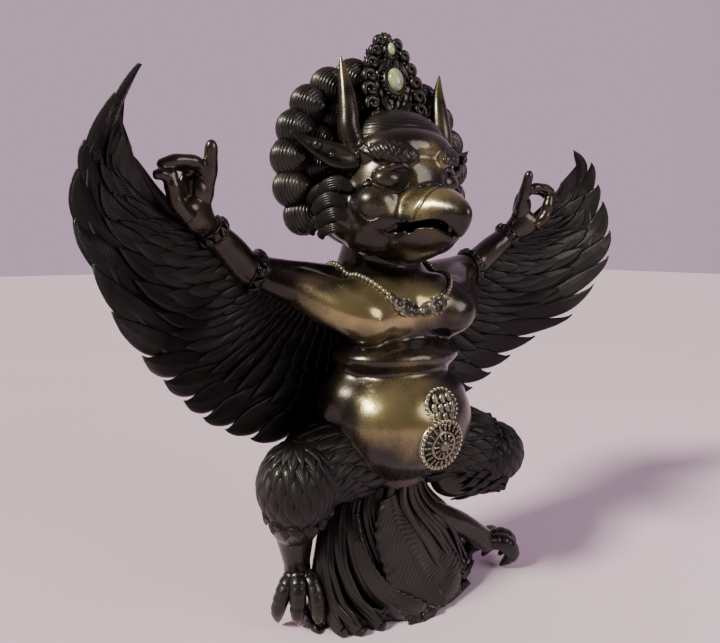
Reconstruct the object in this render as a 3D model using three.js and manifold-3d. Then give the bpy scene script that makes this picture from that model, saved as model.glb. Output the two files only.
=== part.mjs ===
import * as THREE from 'three';
import { mergeVertices } from 'three/addons/utils/BufferGeometryUtils.js';
import Module from 'manifold-3d';

// A garuda figure cast in bronze: a horned, bird-headed, pot-bellied guardian with spread wings,
// crouching on two clawed feet and a fan of tail plumes, with two stones set in its crest.
// Millimetres, +Z up. The figure faces -Y and its own right hand is at -X.
// The origin is on the tail's flat underside, on the ground.

const wasm = await Module();
wasm.setup();

// Driving dimensions, in millimetres
const figureHeight = 220;
const crestThickness = 4.2;
const cabochonLength = 8.4;
const cabochonWidth = 6.4;
const cabochonRise = 2.2;
const cabochonSeat = 1.4;
const topStoneLength = 4.6;
const topStoneWidth = 2.8;
const topStoneRise = 1.2;
const topStoneSeat = 1.1;
const settingGap = 0.3;
const settingWall = 1.3;

// The free form is drawn at this height and carried to figureHeight as shares of it
const drawnHeight = 220;
const share = figureHeight / drawnHeight;
const sides = [-1, 1];
const up = new THREE.Vector3(0, 0, 1);
const front = new THREE.Vector3(0, -1, 0);
const right = new THREE.Vector3(1, 0, 0);

function at(x, y, z) {
  return new THREE.Vector3(x, y, z).multiplyScalar(share);
}

// Places given for the figure's left side, carried to the side that the sign names
function sided(side, place) {
  return at(side * place[0], place[1], place[2]);
}

function line(side, places) {
  return places.map((place) => sided(side, place));
}

// Closed solids

const weldDistance = 1e-4;

function solid(geometry) {
  const plain = geometry.clone();
  plain.deleteAttribute('normal');
  plain.deleteAttribute('uv');
  const welded = mergeVertices(plain, weldDistance);
  const corners = welded.getIndex().array;
  const kept = [];
  for (let i = 0; i < corners.length; i += 3) {
    const [a, b, c] = [corners[i], corners[i + 1], corners[i + 2]];
    if (a !== b && b !== c && c !== a) kept.push(a, b, c);
  }
  return new wasm.Manifold(
    new wasm.Mesh({
      numProp: 3,
      vertProperties: new Float32Array(welded.getAttribute('position').array),
      triVerts: new Uint32Array(kept),
    }),
  );
}

function joined(pieces) {
  return pieces.flat(Infinity).reduce((whole, piece) => whole.add(piece));
}

// A skin over rings of corners, closed to a point at each end. The rings turn to the left
// when they are seen from the far end.
function skin(rings, start, end) {
  const around = rings[0].length;
  const last = (rings.length - 1) * around;
  const points = [...rings.flat(), start, end];
  const [startRank, endRank] = [points.length - 2, points.length - 1];
  const triangles = [];
  for (let j = 0; j < around; j += 1) {
    const next = (j + 1) % around;
    for (let i = 0; i < last; i += around) {
      triangles.push(i + j, i + next, i + around + next, i + j, i + around + next, i + around + j);
    }
    triangles.push(startRank, next, j, endRank, last + j, last + next);
  }
  const geometry = new THREE.BufferGeometry().setFromPoints(points);
  geometry.setIndex(triangles);
  return solid(geometry);
}

// A value read off a list, by a share of the way along it
function along(list, t) {
  const rank = Math.min(Math.max(t, 0) * (list.length - 1), list.length - 1.000001);
  const k = Math.floor(rank);
  return list[k].map((value, n) => THREE.MathUtils.lerp(value, list[k + 1][n], rank - k));
}

// A section carried along a smooth path. Each size is [half width, half depth], spread evenly
// over the path; face is the way that the depth points.
function sweep({ path, sizes, face, steps = 4, around = 8, tip = 0 }) {
  const curve = new THREE.CatmullRomCurve3(path);
  const rings = [];
  for (let i = 0; i <= steps; i += 1) {
    const centre = curve.getPoint(i / steps);
    const heading = curve.getTangent(i / steps);
    const wide = new THREE.Vector3().crossVectors(face, heading).normalize();
    const deep = new THREE.Vector3().crossVectors(heading, wide);
    const [halfWide, halfDeep] = along(sizes, i / steps);
    const ring = [];
    for (let j = 0; j < around; j += 1) {
      const turn = (2 * Math.PI * (j + 0.5)) / around;
      const corner = centre.clone().addScaledVector(wide, halfWide * share * Math.cos(turn));
      ring.push(corner.addScaledVector(deep, halfDeep * share * Math.sin(turn)));
    }
    rings.push(ring);
  }
  const end = curve.getPoint(1).addScaledVector(curve.getTangent(1), tip * share);
  return skin(rings, curve.getPoint(0), end);
}

// An ellipsoid of three half sizes
function ball(centre, halves, around = 12, rows = 8) {
  const geometry = new THREE.SphereGeometry(1, around, rows);
  geometry.rotateX(Math.PI / 2);
  geometry.scale(halves[0] * share, halves[1] * share, halves[2] * share);
  geometry.translate(centre.x, centre.y, centre.z);
  return solid(geometry);
}

// A turned shape whose profile is given as [radius, height] shares of a size, with its axis along out
function turned(profile, size, around, centre, out) {
  const points = profile.map(([radius, height]) => new THREE.Vector2(radius, height).multiplyScalar(size * share));
  const geometry = new THREE.LatheGeometry(points, around);
  geometry.applyQuaternion(new THREE.Quaternion().setFromUnitVectors(new THREE.Vector3(0, 1, 0), out.normalize()));
  geometry.translate(centre.x, centre.y, centre.z);
  return solid(geometry);
}

// A shape standing in a plane of its own: across and rise span it, and it grows along their normal
function stood(geometry, centre, across, rise) {
  const out = new THREE.Vector3().crossVectors(across, rise);
  geometry.applyMatrix4(new THREE.Matrix4().makeBasis(across, rise, out).setPosition(centre));
  return solid(geometry);
}

// Torso: pelvis, round belly, roll, ribs, drooping breasts and the slope of the shoulders

function torso() {
  const trunk = [
    ball(at(0, 14, 58), [20, 17, 15], 8, 5),
    ball(at(0, 5, 77), [28.5, 26, 22.5], 12, 8),
    ball(at(0, 8, 100), [27, 21.5, 11.5], 12, 5),
    ball(at(0, 11, 118), [27, 16, 16], 8, 5),
  ];
  const breasts = sides.map((side) =>
    sweep({
      path: line(side, [[46, 21, 130], [36, 16, 126.5], [26, 6.5, 119.5], [15, 0, 114.4], [9, -1.5, 112.8]]),
      sizes: [[5, 5], [8, 8], [10.8, 9.2], [11.2, 8.8], [7.4, 6.4]],
      face: up,
      steps: 4,
      around: 8,
      tip: 3,
    }),
  );
  const neck = sweep({
    path: [at(0, 18, 116), at(0, 20, 128), at(0, 19, 137), at(0, 13, 148)],
    sizes: [[27, 15], [21, 15.5], [16.5, 15.5], [15, 15]],
    face: front,
    steps: 2,
    around: 8,
  });
  return [trunk, breasts, neck];
}

// Head: skull, brows, eyes, cheeks, hooked beak, jaw, ears, cheek tufts and horns

function head() {
  const pieces = [
    ball(at(0, 9, 162), [22.3, 20.5, 22], 10, 7),
    sweep({
      path: [at(0, 2, 159), at(0, -10, 157.5), at(0, -19, 154.5), at(0, -25, 150), at(0, -26.6, 143.6)],
      sizes: [[14.5, 13], [12.4, 11], [9.6, 8.6], [6.2, 6], [1.2, 1.4]],
      face: new THREE.Vector3(0, -1, 0.6),
      steps: 5,
      around: 9,
    }),
    sweep({
      path: [at(0, 8, 143), at(0, -4, 143), at(0, -13, 145), at(0, -21, 146)],
      sizes: [[14, 8.5], [12.4, 8.4], [8.6, 5.8], [4.4, 3]],
      face: up,
      steps: 3,
    }),
  ];
  for (const side of sides) {
    pieces.push(ball(sided(side, [12.5, 0, 154.5]), [9, 8.6, 8.2], 7, 5));
    pieces.push(ball(sided(side, [9.8, -5.6, 164.6]), [4.6, 4.2, 3.8], 7, 4));
    pieces.push(brow(side), ear(side), horn(side), tufts(side));
  }
  return pieces;
}

function brow(side) {
  return sweep({
    path: line(side, [[1, -9, 166.5], [8, -10.5, 171.5], [15, -7, 173.5], [20.5, 1, 177]]),
    sizes: [[2.4, 3], [3.4, 3], [3.2, 3], [1, 1.4]],
    face: new THREE.Vector3(0, -1, 0.2),
    steps: 2,
    around: 5,
  });
}

// A pointed leaf with a raised spine
function leaf(path, face, halfWidth, halfDepth) {
  const sizes = [[halfWidth * 0.8, halfDepth], [halfWidth, halfDepth], [halfWidth * 0.15, halfDepth * 0.3]];
  return sweep({ path, sizes, face, steps: 2, around: 4, tip: halfWidth * 0.1 });
}

function ear(side) {
  return leaf(line(side, [[19, 12, 174.5], [29, 15, 176.5], [40.5, 19.5, 181]]), front, 5.6, 2.6);
}

function horn(side) {
  return sweep({
    path: line(side, [[15.5, 8, 176], [20.5, 8.8, 184], [23.2, 10, 195], [22.3, 11.5, 207]]),
    sizes: [[4.4, 4.4], [3.9, 3.9], [2.7, 2.7], [0.5, 0.5]],
    face: front,
    steps: 3,
    around: 6,
    tip: 0.6,
  });
}

function tufts(side) {
  const roots = [[14, 2, 160], [15, 4, 151.5], [11, 5, 144]];
  const tips = [[30, 17, 162], [31.5, 17, 151.5], [27.5, 16.5, 141]];
  return roots.map((root, k) => {
    const path = line(side, [root, root.map((value, n) => (value + tips[k][n]) / 2 + [3.5, -1.5, 0][n]), tips[k]]);
    return leaf(path, new THREE.Vector3(side, -0.8, 0), 5.4, 2.8);
  });
}

// Hair: a mass behind the head, covered with rows of snail curls

const hairCentre = [0, 26, 170];
const curlProfile = [[0, -0.4], [1, -0.15], [0.62, 0.6], [0, 0.9]];

function hair() {
  const [cx, cy, cz] = hairCentre;
  const pieces = [ball(at(cx, cy + 1, cz), [33, 12, 31], 9, 6)];
  const rows = [
    { count: 13, from: -28, to: 208, wide: 37.6, tall: 34.5, y: 22, lean: -1.2, radius: 7.9, around: 6 },
    { count: 7, from: -38, to: 218, wide: 29, tall: 28, y: 34, lean: 0.9, radius: 8.6, around: 5 },
    { count: 4, from: -45, to: 225, wide: 12, tall: 13, y: 38.5, lean: 2.6, radius: 9.2, around: 5 },
  ];
  for (const row of rows) {
    for (let k = 0; k < row.count; k += 1) {
      const turn = THREE.MathUtils.degToRad(row.from + ((row.to - row.from) * k) / (row.count - 1));
      const out = new THREE.Vector3(Math.cos(turn), row.lean, Math.sin(turn));
      const centre = at(cx + row.wide * Math.cos(turn), row.y, cz + row.tall * Math.sin(turn));
      pieces.push(turned(curlProfile, row.radius, row.around, centre, out));
    }
  }
  return pieces;
}

// Crest: a flaming-jewel plate that stands on the brow and holds the two stones

const crestLean = THREE.MathUtils.degToRad(13);
const crestRise = new THREE.Vector3(0, Math.sin(crestLean), Math.cos(crestLean));
const crestOut = new THREE.Vector3().crossVectors(right, crestRise);
const crestFoot = at(0, 8.5, 183);
const crestHeight = 37.6 * share;
const crestHalfWidth = 13 * share;
const crestLobes = 5;
const settingProud = 1;

function crestPoint(rank, lift) {
  return crestFoot.clone().addScaledVector(crestRise, rank * crestHeight).addScaledVector(crestOut, lift);
}

function crestShape() {
  const shape = new THREE.Shape();
  const count = 3 * crestLobes + 3;
  const halfWidth = (v) => {
    const body = Math.sin(Math.PI * Math.min(1, 0.14 + 0.86 * v ** 0.85)) ** 0.8;
    return crestHalfWidth * (0.1 * (1 - v) + body * (0.92 + 0.08 * Math.cos(2 * Math.PI * crestLobes * v)));
  };
  for (let k = 0; k <= count; k += 1) shape.lineTo(halfWidth(k / count), (k / count) * crestHeight);
  for (let k = count - 1; k >= 0; k -= 1) shape.lineTo(-halfWidth(k / count), (k / count) * crestHeight);
  return shape;
}

function ovalPost(halfWidth, halfLength, height, around) {
  const shape = new THREE.Shape().absellipse(0, 0, halfWidth, halfLength, 0, 2 * Math.PI);
  return new THREE.ExtrudeGeometry(shape, { depth: height, bevelEnabled: false, curveSegments: around });
}

const stones = {
  crest_cabochon: {
    rank: 0.5,
    halfWidth: cabochonWidth / 2,
    halfLength: cabochonLength / 2,
    rise: cabochonRise,
    seat: cabochonSeat,
    around: 12,
  },
  crest_top_stone: {
    rank: 0.81,
    halfWidth: topStoneWidth / 2,
    halfLength: topStoneLength / 2,
    rise: topStoneRise,
    seat: topStoneSeat,
    around: 12,
  },
};

function crest() {
  const plate = stood(
    new THREE.ExtrudeGeometry(crestShape(), { depth: crestThickness, bevelEnabled: false }),
    crestPoint(0, -crestThickness / 2),
    right,
    crestRise,
  );
  const wall = settingGap + settingWall;
  const depth = crestThickness / 2 + settingProud;
  const settings = Object.values(stones).map(({ rank, halfWidth, halfLength, around }) =>
    stood(ovalPost(halfWidth + wall, halfLength + wall, depth, around), crestPoint(rank, 0), right, crestRise),
  );
  return [plate, settings];
}

// The pocket that a stone sits in, open at the front of its setting
function pocket({ rank, halfWidth, halfLength, seat, around }) {
  const floor = crestThickness / 2 + settingProud - seat - settingGap;
  const post = ovalPost(halfWidth + settingGap, halfLength + settingGap, crestThickness, around);
  return stood(post, crestPoint(rank, floor), right, crestRise);
}

// A domed oval stone with a flat back
function cabochon({ rank, halfWidth, halfLength, rise, seat, around }) {
  const profile = [[0, 0], [1, 0], [1, seat], [0.86, seat + rise * 0.5], [0.5, seat + rise * 0.87], [0, seat + rise]];
  const geometry = new THREE.LatheGeometry(profile.map(([r, h]) => new THREE.Vector2(r, h)), around);
  geometry.rotateX(Math.PI / 2);
  geometry.scale(halfWidth, halfLength, 1);
  return stood(geometry, crestPoint(rank, crestThickness / 2 + settingProud - seat), right, crestRise);
}

// Arms: held out along the upper edge of the wings, each hand with its first finger raised

function arm(side) {
  const ring = (from, to, size) =>
    sweep({ path: line(side, [from, to]), sizes: [[size, size], [size, size]], face: up, steps: 1, around: 6 });
  const finger = (places, size) =>
    sweep({
      path: line(side, places),
      sizes: [[size, size], [size * 0.9, size * 0.9], [size * 0.6, size * 0.6]],
      face: front,
      steps: 3,
      around: 4,
      tip: 0.5,
    });
  return [
    sweep({
      path: line(side, [[15, 18, 126], [30, 20.5, 130], [43, 22.5, 131.5], [54, 22.5, 133.5], [62, 19.5, 141], [71, 16, 150]]),
      sizes: [[11, 10], [7.6, 7.4], [6.2, 6], [5.8, 5.6], [5, 4.8], [3.6, 3.2]],
      face: up,
      steps: 5,
      around: 6,
    }),
    ring([49, 23, 131.6], [53, 23, 132.6], 7.2),
    ring([66.4, 18, 145.2], [69.4, 16.8, 148.4], 5.3),
    sweep({
      path: line(side, [[70.5, 16.2, 148.5], [73.6, 13.5, 153.5], [75, 11, 160]]),
      sizes: [[4.4, 3.4], [5.4, 3.4], [4.6, 2.8]],
      face: front,
      steps: 2,
    }),
    finger([[72.4, 11.5, 157], [71, 9.6, 165], [70.6, 8.5, 172.5]], 2.2),
    finger([[75, 13.5, 151.5], [81.6, 11, 153.5], [84.6, 8.6, 158], [84, 7, 162.5]], 2.4),
    finger([[74, 10.4, 160], [76, 7, 164.8], [80, 6, 166.4], [84.6, 7, 162.8]], 2.2),
    finger([[76.5, 12, 160], [79, 10, 165.6], [84, 9.5, 166.6], [87.6, 8.6, 162.6]], 2.2),
  ];
}

// Wings: one curved sheet each, cupped forward behind the arm, with a ridge down every flight
// feather, notches between their tips, and two rows of coverts that overlap like shingles

const wingBone = [
  [92.8, 9.5, 180], [91.5, 12, 167], [84, 14.5, 156], [74, 18, 147], [61, 22, 139],
  [46, 25, 133], [32, 27, 127], [18, 28, 119], [6, 30, 108],
];
const featherTips = [
  [90.6, 4, 191.5], [92.3, 2.5, 191.5], [99.8, -1.5, 182], [107.6, 0, 169.5], [110, -1, 162], [112, -4, 149],
  [108.6, -6.4, 137.5], [103.8, -3, 124.5], [95.3, 1.5, 110.8], [86, 14.5, 100], [77.8, 22, 90.6], [70, 26.5, 82.4],
  [61, 29.5, 75.8], [51, 30.5, 70.4], [39, 30.5, 66], [26, 30, 63], [12, 29, 61],
];
// How much lower the first tips stand on the figure's left wing
const leftTipDrops = [8, 8, 3.5];
const wingRows = [
  { reach: 0, ridge: 2.1, groove: 1.9 },
  { reach: 0.3, ridge: 2.9, groove: 1.8, jag: 0.035 },
  { reach: 0.31, ridge: 1.5, groove: 1.2, jag: 0.035 },
  { reach: 0.56, ridge: 2.6, groove: 1.6, jag: -0.035 },
  { reach: 0.57, ridge: 1.3, groove: 1, jag: -0.035 },
  { reach: 0.84, ridge: 1.7, groove: 0.8 },
];
// The wing's back is plainer: it has one row of coverts
const backBands = [[0, 3], [3, 5]];
const tipHalfThickness = 0.5;

function wing(side) {
  const bone = new THREE.CatmullRomCurve3(line(side, wingBone));
  const drop = (rank) => (side > 0 ? (leftTipDrops[rank] ?? 0) : 0);
  const edge = new THREE.CatmullRomCurve3(line(side, featherTips.map(([x, y, z], rank) => [x, y, z - drop(rank)])));
  const spot = (s, v) => {
    const arch = 4 * v * (1 - v) * share;
    const point = bone.getPoint(s).lerp(edge.getPoint(s), v);
    point.addScaledVector(edge.getTangent(s), 4.5 * arch * Math.max(0, 0.4 - s));
    return point.add(new THREE.Vector3(side * 0.3, 1, 0).multiplyScalar(3.4 * arch));
  };
  const facing = (s, v) => {
    const step = 0.03;
    const across = spot(Math.min(1, s + step), v).sub(spot(Math.max(0, s - step), v));
    const outward = spot(s, Math.min(1, v + step)).sub(spot(s, Math.max(0, v - step)));
    return across.cross(outward).multiplyScalar(side).normalize();
  };
  const feathers = featherTips.length - 2;
  const columns = 2 * feathers;
  const rows = wingRows.length;
  const place = (column) => (column + 1) / (2 * feathers + 2);
  const points = [];
  for (const layer of [1, -1]) {
    for (let i = 0; i <= columns; i += 1) {
      wingRows.forEach(({ reach, ridge, groove, jag = 0 }) => {
        const lift = i % 2 ? ridge : groove;
        const v = reach + (i % 2 ? jag : -jag);
        points.push(spot(place(i), v).addScaledVector(facing(place(i), v), layer * lift * share));
      });
    }
    for (let k = 0; k < feathers; k += 1) {
      const s = place(2 * k + 1);
      points.push(spot(s, 1).addScaledVector(facing(s, 0.96), layer * tipHalfThickness * share));
    }
  }
  const half = points.length / 2;
  const id = (i, j, layer) => layer * half + i * rows + j;
  const tip = (k, layer) => layer * half + (columns + 1) * rows + k;
  const triangles = [];
  const face = (...corners) => {
    const order = side > 0 ? corners : corners.reverse();
    for (let n = 2; n < order.length; n += 1) triangles.push(order[0], order[n - 1], order[n]);
  };
  for (let i = 0; i < columns; i += 1) {
    for (let j = 0; j + 1 < rows; j += 1) {
      face(id(i, j, 0), id(i + 1, j, 0), id(i + 1, j + 1, 0), id(i, j + 1, 0));
    }
    for (const [j, m] of backBands) {
      face(id(i, j, 1), id(i, m, 1), id(i + 1, m, 1), id(i + 1, j, 1));
    }
    face(id(i, 0, 0), id(i, 0, 1), id(i + 1, 0, 1), id(i + 1, 0, 0));
  }
  const rim = rows - 1;
  for (let k = 0; k < feathers; k += 1) {
    const [a, b, c] = [2 * k, 2 * k + 1, 2 * k + 2];
    face(id(a, rim, 0), id(b, rim, 0), tip(k, 0));
    face(id(b, rim, 0), id(c, rim, 0), tip(k, 0));
    face(id(a, rim, 1), tip(k, 1), id(b, rim, 1));
    face(id(b, rim, 1), tip(k, 1), id(c, rim, 1));
    face(id(a, rim, 0), tip(k, 0), tip(k, 1), id(a, rim, 1));
    face(tip(k, 0), id(c, rim, 0), id(c, rim, 1), tip(k, 1));
  }
  for (const [j, m] of backBands) {
    const between = Array.from({ length: m - j + 1 }, (_, n) => j + n);
    face(...between.map((row) => id(0, row, 0)), id(0, m, 1), id(0, j, 1));
    face(...between.toReversed().map((row) => id(columns, row, 0)), id(columns, j, 1), id(columns, m, 1));
  }
  const geometry = new THREE.BufferGeometry().setFromPoints(points);
  geometry.setIndex(triangles);
  return solid(geometry);
}

// Legs: bulging feathered thighs and knees, bare shanks, and claws that curl under

const legs = [
  {
    side: -1,
    thigh: [[13, 14, 60], [30, 8, 64], [44, 4, 61]],
    knee: { centre: [45.5, 3, 60.5], halves: [14, 13.6, 15] },
    calf: [[45, 4, 54], [43.5, 9, 44], [42, 12.5, 38]],
    shank: { path: [[43, 11, 41], [41, 14, 31], [39.5, 15.5, 21]], sizes: [[7.2, 6.4], [4.8, 4.6], [3.8, 3.8]] },
    toes: [
      [[40, 15.5, 21], [45.5, 13, 18.5], [49, 14.4, 9.5], [46.6, 18.5, 1]],
      [[40, 15, 21], [42.4, 9.6, 19], [43.6, 8.6, 9.5], [40.8, 13.4, 1]],
      [[39, 14.5, 21], [37, 8.4, 18.5], [37, 5, 9.5], [34.6, 9.4, 1]],
      [[39, 17, 22], [37, 23, 18], [36, 25.5, 9], [36, 23, 1]],
    ],
  },
  {
    side: 1,
    thigh: [[13, 14, 60], [29, 8, 62], [43, 4, 57]],
    knee: { centre: [47, 3.5, 54], halves: [14, 13.4, 12.5] },
    calf: [[48, 4, 50], [34, 6.5, 47.4], [18, 7, 44.4]],
    shank: { path: [[13, 6, 35], [31, 4.6, 25.6], [47, 4, 13]], sizes: [[5.8, 5.4], [5, 4.8], [4.6, 4.4]] },
    toes: [
      [[46, 4, 13], [54, 2, 14.5], [60.5, 3.5, 9], [57.6, 7, 2]],
      [[46, 3, 13], [52, -2, 13.5], [56, -2.6, 7], [52.4, 1, 1]],
      [[46, 5, 13], [54, 8.4, 13], [56.4, 11.4, 6.6], [51.5, 11.4, 1.4]],
      [[45, 5, 12], [42, 9, 11], [42, 12, 6], [46.5, 12, 1.6]],
    ],
  },
];

function leg({ side, thigh, knee, calf, shank, toes }) {
  const pieces = [
    sweep({ path: line(side, thigh), sizes: [[15, 15], [14, 14], [12, 12]], face: up, steps: 2, around: 8 }),
    plumage(side, knee),
    sweep({ path: line(side, calf), sizes: [[12, 12], [9.5, 9], [7.4, 7]], face: new THREE.Vector3(0, -1, 0.4), steps: 2, around: 7 }),
    sweep({ path: line(side, shank.path), sizes: shank.sizes, face: front, steps: 2, around: 6 }),
    ball(sided(side, shank.path[2]), [6, 6, 4.4], 6, 4),
  ];
  for (const toe of toes) {
    pieces.push(
      sweep({ path: line(side, toe), sizes: [[3, 2.8], [3.6, 3.4], [3.4, 3.2], [1.9, 1.8]], face: up, steps: 3, around: 4, tip: 0.6 }),
    );
  }
  return pieces;
}

// A rounded mass wrapped in rows of feathers that overlap downward, each row with a jagged lip
function plumage(side, { centre, halves }) {
  const around = 12;
  const lips = [-48, -12, 26];
  const jag = 8;
  const spot = (turn, tilt, swell) => {
    const rise = THREE.MathUtils.degToRad(tilt);
    const out = [Math.cos(turn) * Math.cos(rise), Math.sin(turn) * Math.cos(rise), Math.sin(rise)];
    return at(side * centre[0] + halves[0] * swell * out[0], centre[1] + halves[1] * swell * out[1], centre[2] + halves[2] * out[2]);
  };
  const rings = lips.flatMap((tilt, k) =>
    [0.95, 1.05].map((swell, n) =>
      Array.from({ length: around }, (_, j) => {
        const drop = (j + k) % 2 ? -jag : jag;
        return spot((2 * Math.PI * j) / around, tilt + drop + n * 3, swell + (drop < 0 && n ? 0.03 : 0));
      }),
    ),
  );
  return skin(rings, spot(0, -90, 1), spot(0, 90, 1));
}

// Tail: plumes that wrap a core below the rump, part at the ground and rest on it

const tailPlumes = 13;
const tailRings = [
  { z: 58, x: -1, y: 13, wide: 14, deep: 11, groove: 0.92, drift: 0 },
  { z: 44, x: -4.5, y: 11.5, wide: 20.5, deep: 11, groove: 0.87, drift: 0.2 },
  { z: 28, x: -0.3, y: 9.2, wide: 29.4, deep: 11, groove: 0.87, drift: 0.5 },
  { z: 12, x: 1.5, y: 8.5, wide: 32.2, deep: 11.5, groove: 0.86, drift: 0.9 },
  { z: 5, x: 1.8, y: 8, wide: 33, deep: 13.4, groove: 0.83, drift: 1.2 },
  { z: 0, x: 0.8, y: 8, wide: 31.8, deep: 13.4, groove: 0.84, drift: 1.3 },
];

function tail() {
  const rings = tailRings.toReversed().map(({ z, x, y, wide, deep, groove, drift }) =>
    Array.from({ length: 2 * tailPlumes }, (_, j) => {
      const turn = (Math.PI * (j + drift)) / tailPlumes;
      const swell = j % 2 ? groove : 1;
      return at(x + wide * swell * Math.cos(turn), y + deep * swell * Math.sin(turn), z);
    }),
  );
  const [top, foot] = [tailRings[0], tailRings.at(-1)];
  return skin(rings, at(foot.x, foot.y, foot.z), at(top.x, top.y, top.z + 2));
}

// Ornaments: the collar with its three medallions, and the flower and wheel on the belly

const collarLow = 118.6;
const collarHigh = 136;
const beadRadius = 1.7;

function collarPoint(turn) {
  const drop = Math.max(0, Math.sin(turn));
  const z = collarLow + (collarHigh - collarLow) * (1 - drop) ** 0.95;
  const reach = Math.sign(Math.sin(turn)) * Math.abs(Math.sin(turn)) ** 0.45;
  return at(21 * Math.cos(turn), 17 - 22.5 * reach, z);
}

function collar() {
  const stations = 16;
  const around = 4;
  const points = [];
  const triangles = [];
  for (let k = 0; k < stations; k += 1) {
    const centre = collarPoint((2 * Math.PI * k) / stations);
    const outward = centre.clone().sub(at(0, 17.5, 0)).setZ(0).normalize();
    for (let j = 0; j < around; j += 1) {
      const turn = (2 * Math.PI * j) / around;
      points.push(centre.clone().addScaledVector(outward, beadRadius * share * Math.cos(turn)).addScaledVector(up, beadRadius * share * Math.sin(turn)));
      const [a, b] = [k * around + j, k * around + ((j + 1) % around)];
      const [c, d] = [b, a].map((rank) => (rank + around) % (stations * around));
      triangles.push(a, b, c, a, c, d);
    }
  }
  const geometry = new THREE.BufferGeometry().setFromPoints(points);
  geometry.setIndex(triangles);
  const profile = [[0, -0.6], [1, -0.2], [0.8, 0.4], [0, 0.6]];
  const medallions = [-33, 0, 33].map((degrees) => {
    const turn = Math.PI / 2 - THREE.MathUtils.degToRad(degrees);
    return turned(profile, degrees ? 3.8 : 3, 6, collarPoint(turn), new THREE.Vector3(Math.cos(turn), -Math.sin(turn), 0.3));
  });
  return [solid(geometry), medallions];
}

function bellyOrnament() {
  const rim = [[0, -0.3], [1, -0.3], [1, 0.2], [0.84, 0.2], [0.76, 0.1], [0.6, 0.1], [0.54, 0.2], [0, 0.26]];
  const bloom = [[0, -0.4], [1, -0.4], [1, 0.24], [0.8, 0.26], [0.7, 0.12], [0, 0.34]];
  return [
    turned(rim, 9.8, 12, at(-1, -19.6, 73), new THREE.Vector3(0, -1, -0.04)),
    turned(bloom, 6.8, 8, at(-0.6, -16.6, 87.8), new THREE.Vector3(0, -1, 0.32)),
  ];
}

// The cast figure: everything joined, trimmed flat at the ground, with the stones' pockets cut

function figure() {
  const whole = joined([
    torso(),
    head(),
    hair(),
    crest(),
    sides.map((side) => [arm(side), wing(side)]),
    legs.map(leg),
    tail(),
    collar(),
    bellyOrnament(),
  ]);
  const ground = new THREE.BoxGeometry(figureHeight * 2, figureHeight * 2, figureHeight);
  ground.translate(0, 0, -figureHeight / 2);
  return Object.values(stones).reduce((rest, stone) => rest.subtract(pocket(stone)), whole.subtract(solid(ground)));
}

function mesh(name, body, material) {
  const { vertProperties, triVerts } = body.getMesh();
  const geometry = new THREE.BufferGeometry();
  geometry.setAttribute('position', new THREE.BufferAttribute(new Float32Array(vertProperties), 3));
  geometry.setIndex(new THREE.BufferAttribute(new Uint32Array(triVerts), 1));
  geometry.computeVertexNormals();
  const result = new THREE.Mesh(geometry, material);
  result.name = name;
  return result;
}

const bronze = new THREE.MeshStandardMaterial({ color: 0x4a3620, roughness: 0.42, metalness: 1 });
const paleStone = () => new THREE.MeshStandardMaterial({ color: 0xb9c3a0, roughness: 0.3, metalness: 0 });

const garuda = new THREE.Group();
garuda.add(mesh('garuda_figure', figure(), bronze));
for (const [name, stone] of Object.entries(stones)) {
  garuda.add(mesh(name, cabochon(stone), paleStone()));
}

export default garuda;
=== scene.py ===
# %% [markdown]
# # A cast bronze garuda
#
# The figure is one lost-wax casting: a horned bird's head with snail-curl hair, a round belly,
# wings spread behind raised arms, feathered legs and a fan of tail plumes. The solids already
# have its pose and outline, in faceted form. This lesson gives it its cast skin. Everything is
# worked out in millimetres and made in metres, in the frame of the solids: the figure faces -Y,
# its own right hand is at -X, and the floor is at Z = 0.

# %% Load the frame
import bpy
import numpy as np
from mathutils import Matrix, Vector
from mathutils.bvhtree import BVHTree


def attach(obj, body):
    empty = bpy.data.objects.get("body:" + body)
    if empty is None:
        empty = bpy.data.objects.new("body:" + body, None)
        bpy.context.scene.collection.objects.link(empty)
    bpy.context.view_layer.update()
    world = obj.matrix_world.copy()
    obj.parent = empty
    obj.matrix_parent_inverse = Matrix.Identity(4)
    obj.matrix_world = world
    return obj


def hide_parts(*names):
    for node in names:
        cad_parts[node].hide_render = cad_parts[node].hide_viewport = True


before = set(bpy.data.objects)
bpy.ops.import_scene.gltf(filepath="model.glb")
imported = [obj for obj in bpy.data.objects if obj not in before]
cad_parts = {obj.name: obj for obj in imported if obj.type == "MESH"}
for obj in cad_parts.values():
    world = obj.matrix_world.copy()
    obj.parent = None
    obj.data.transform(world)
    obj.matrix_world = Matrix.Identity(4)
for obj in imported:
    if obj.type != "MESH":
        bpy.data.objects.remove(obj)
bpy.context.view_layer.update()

MM = 0.001
SIDES = (-1, 1)
SIDE_NAMES = {-1: "right", 1: "left"}
UP, FRONT, RIGHT = (0, 0, 1), (0, -1, 0), (1, 0, 0)

# %% [markdown]
# ## Where the camera stands
#
# The outline of a pair of wings that mirror each other tells where a photograph was taken from:
# each pair of matching tips gives one line towards the lens. Here that lens is close and a little
# above the figure's middle, 35 degrees round to its right, and it looks down by seven degrees.
# A close camera makes the near wing large and the far one small, so the distance matters as much
# as the angle.

# %% Camera
CAMERA_TURN = np.radians(-35.0)
CAMERA_DISTANCE, CAMERA_HEIGHT, CAMERA_AIM_Y = 239.35, 142.18, 20.37
PICTURE_WIDE, PICTURE_MIDDLE = 720, 321.5  # width and middle height in pixels
FOCAL, HORIZON, ASIDE = 606, 245, 18  # lens to film, height of the level line, shift to the side
PAN, TILT = np.arctan2(ASIDE, FOCAL), np.arctan2(HORIZON - PICTURE_MIDDLE, FOCAL)
SENSOR = 36.0

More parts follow.
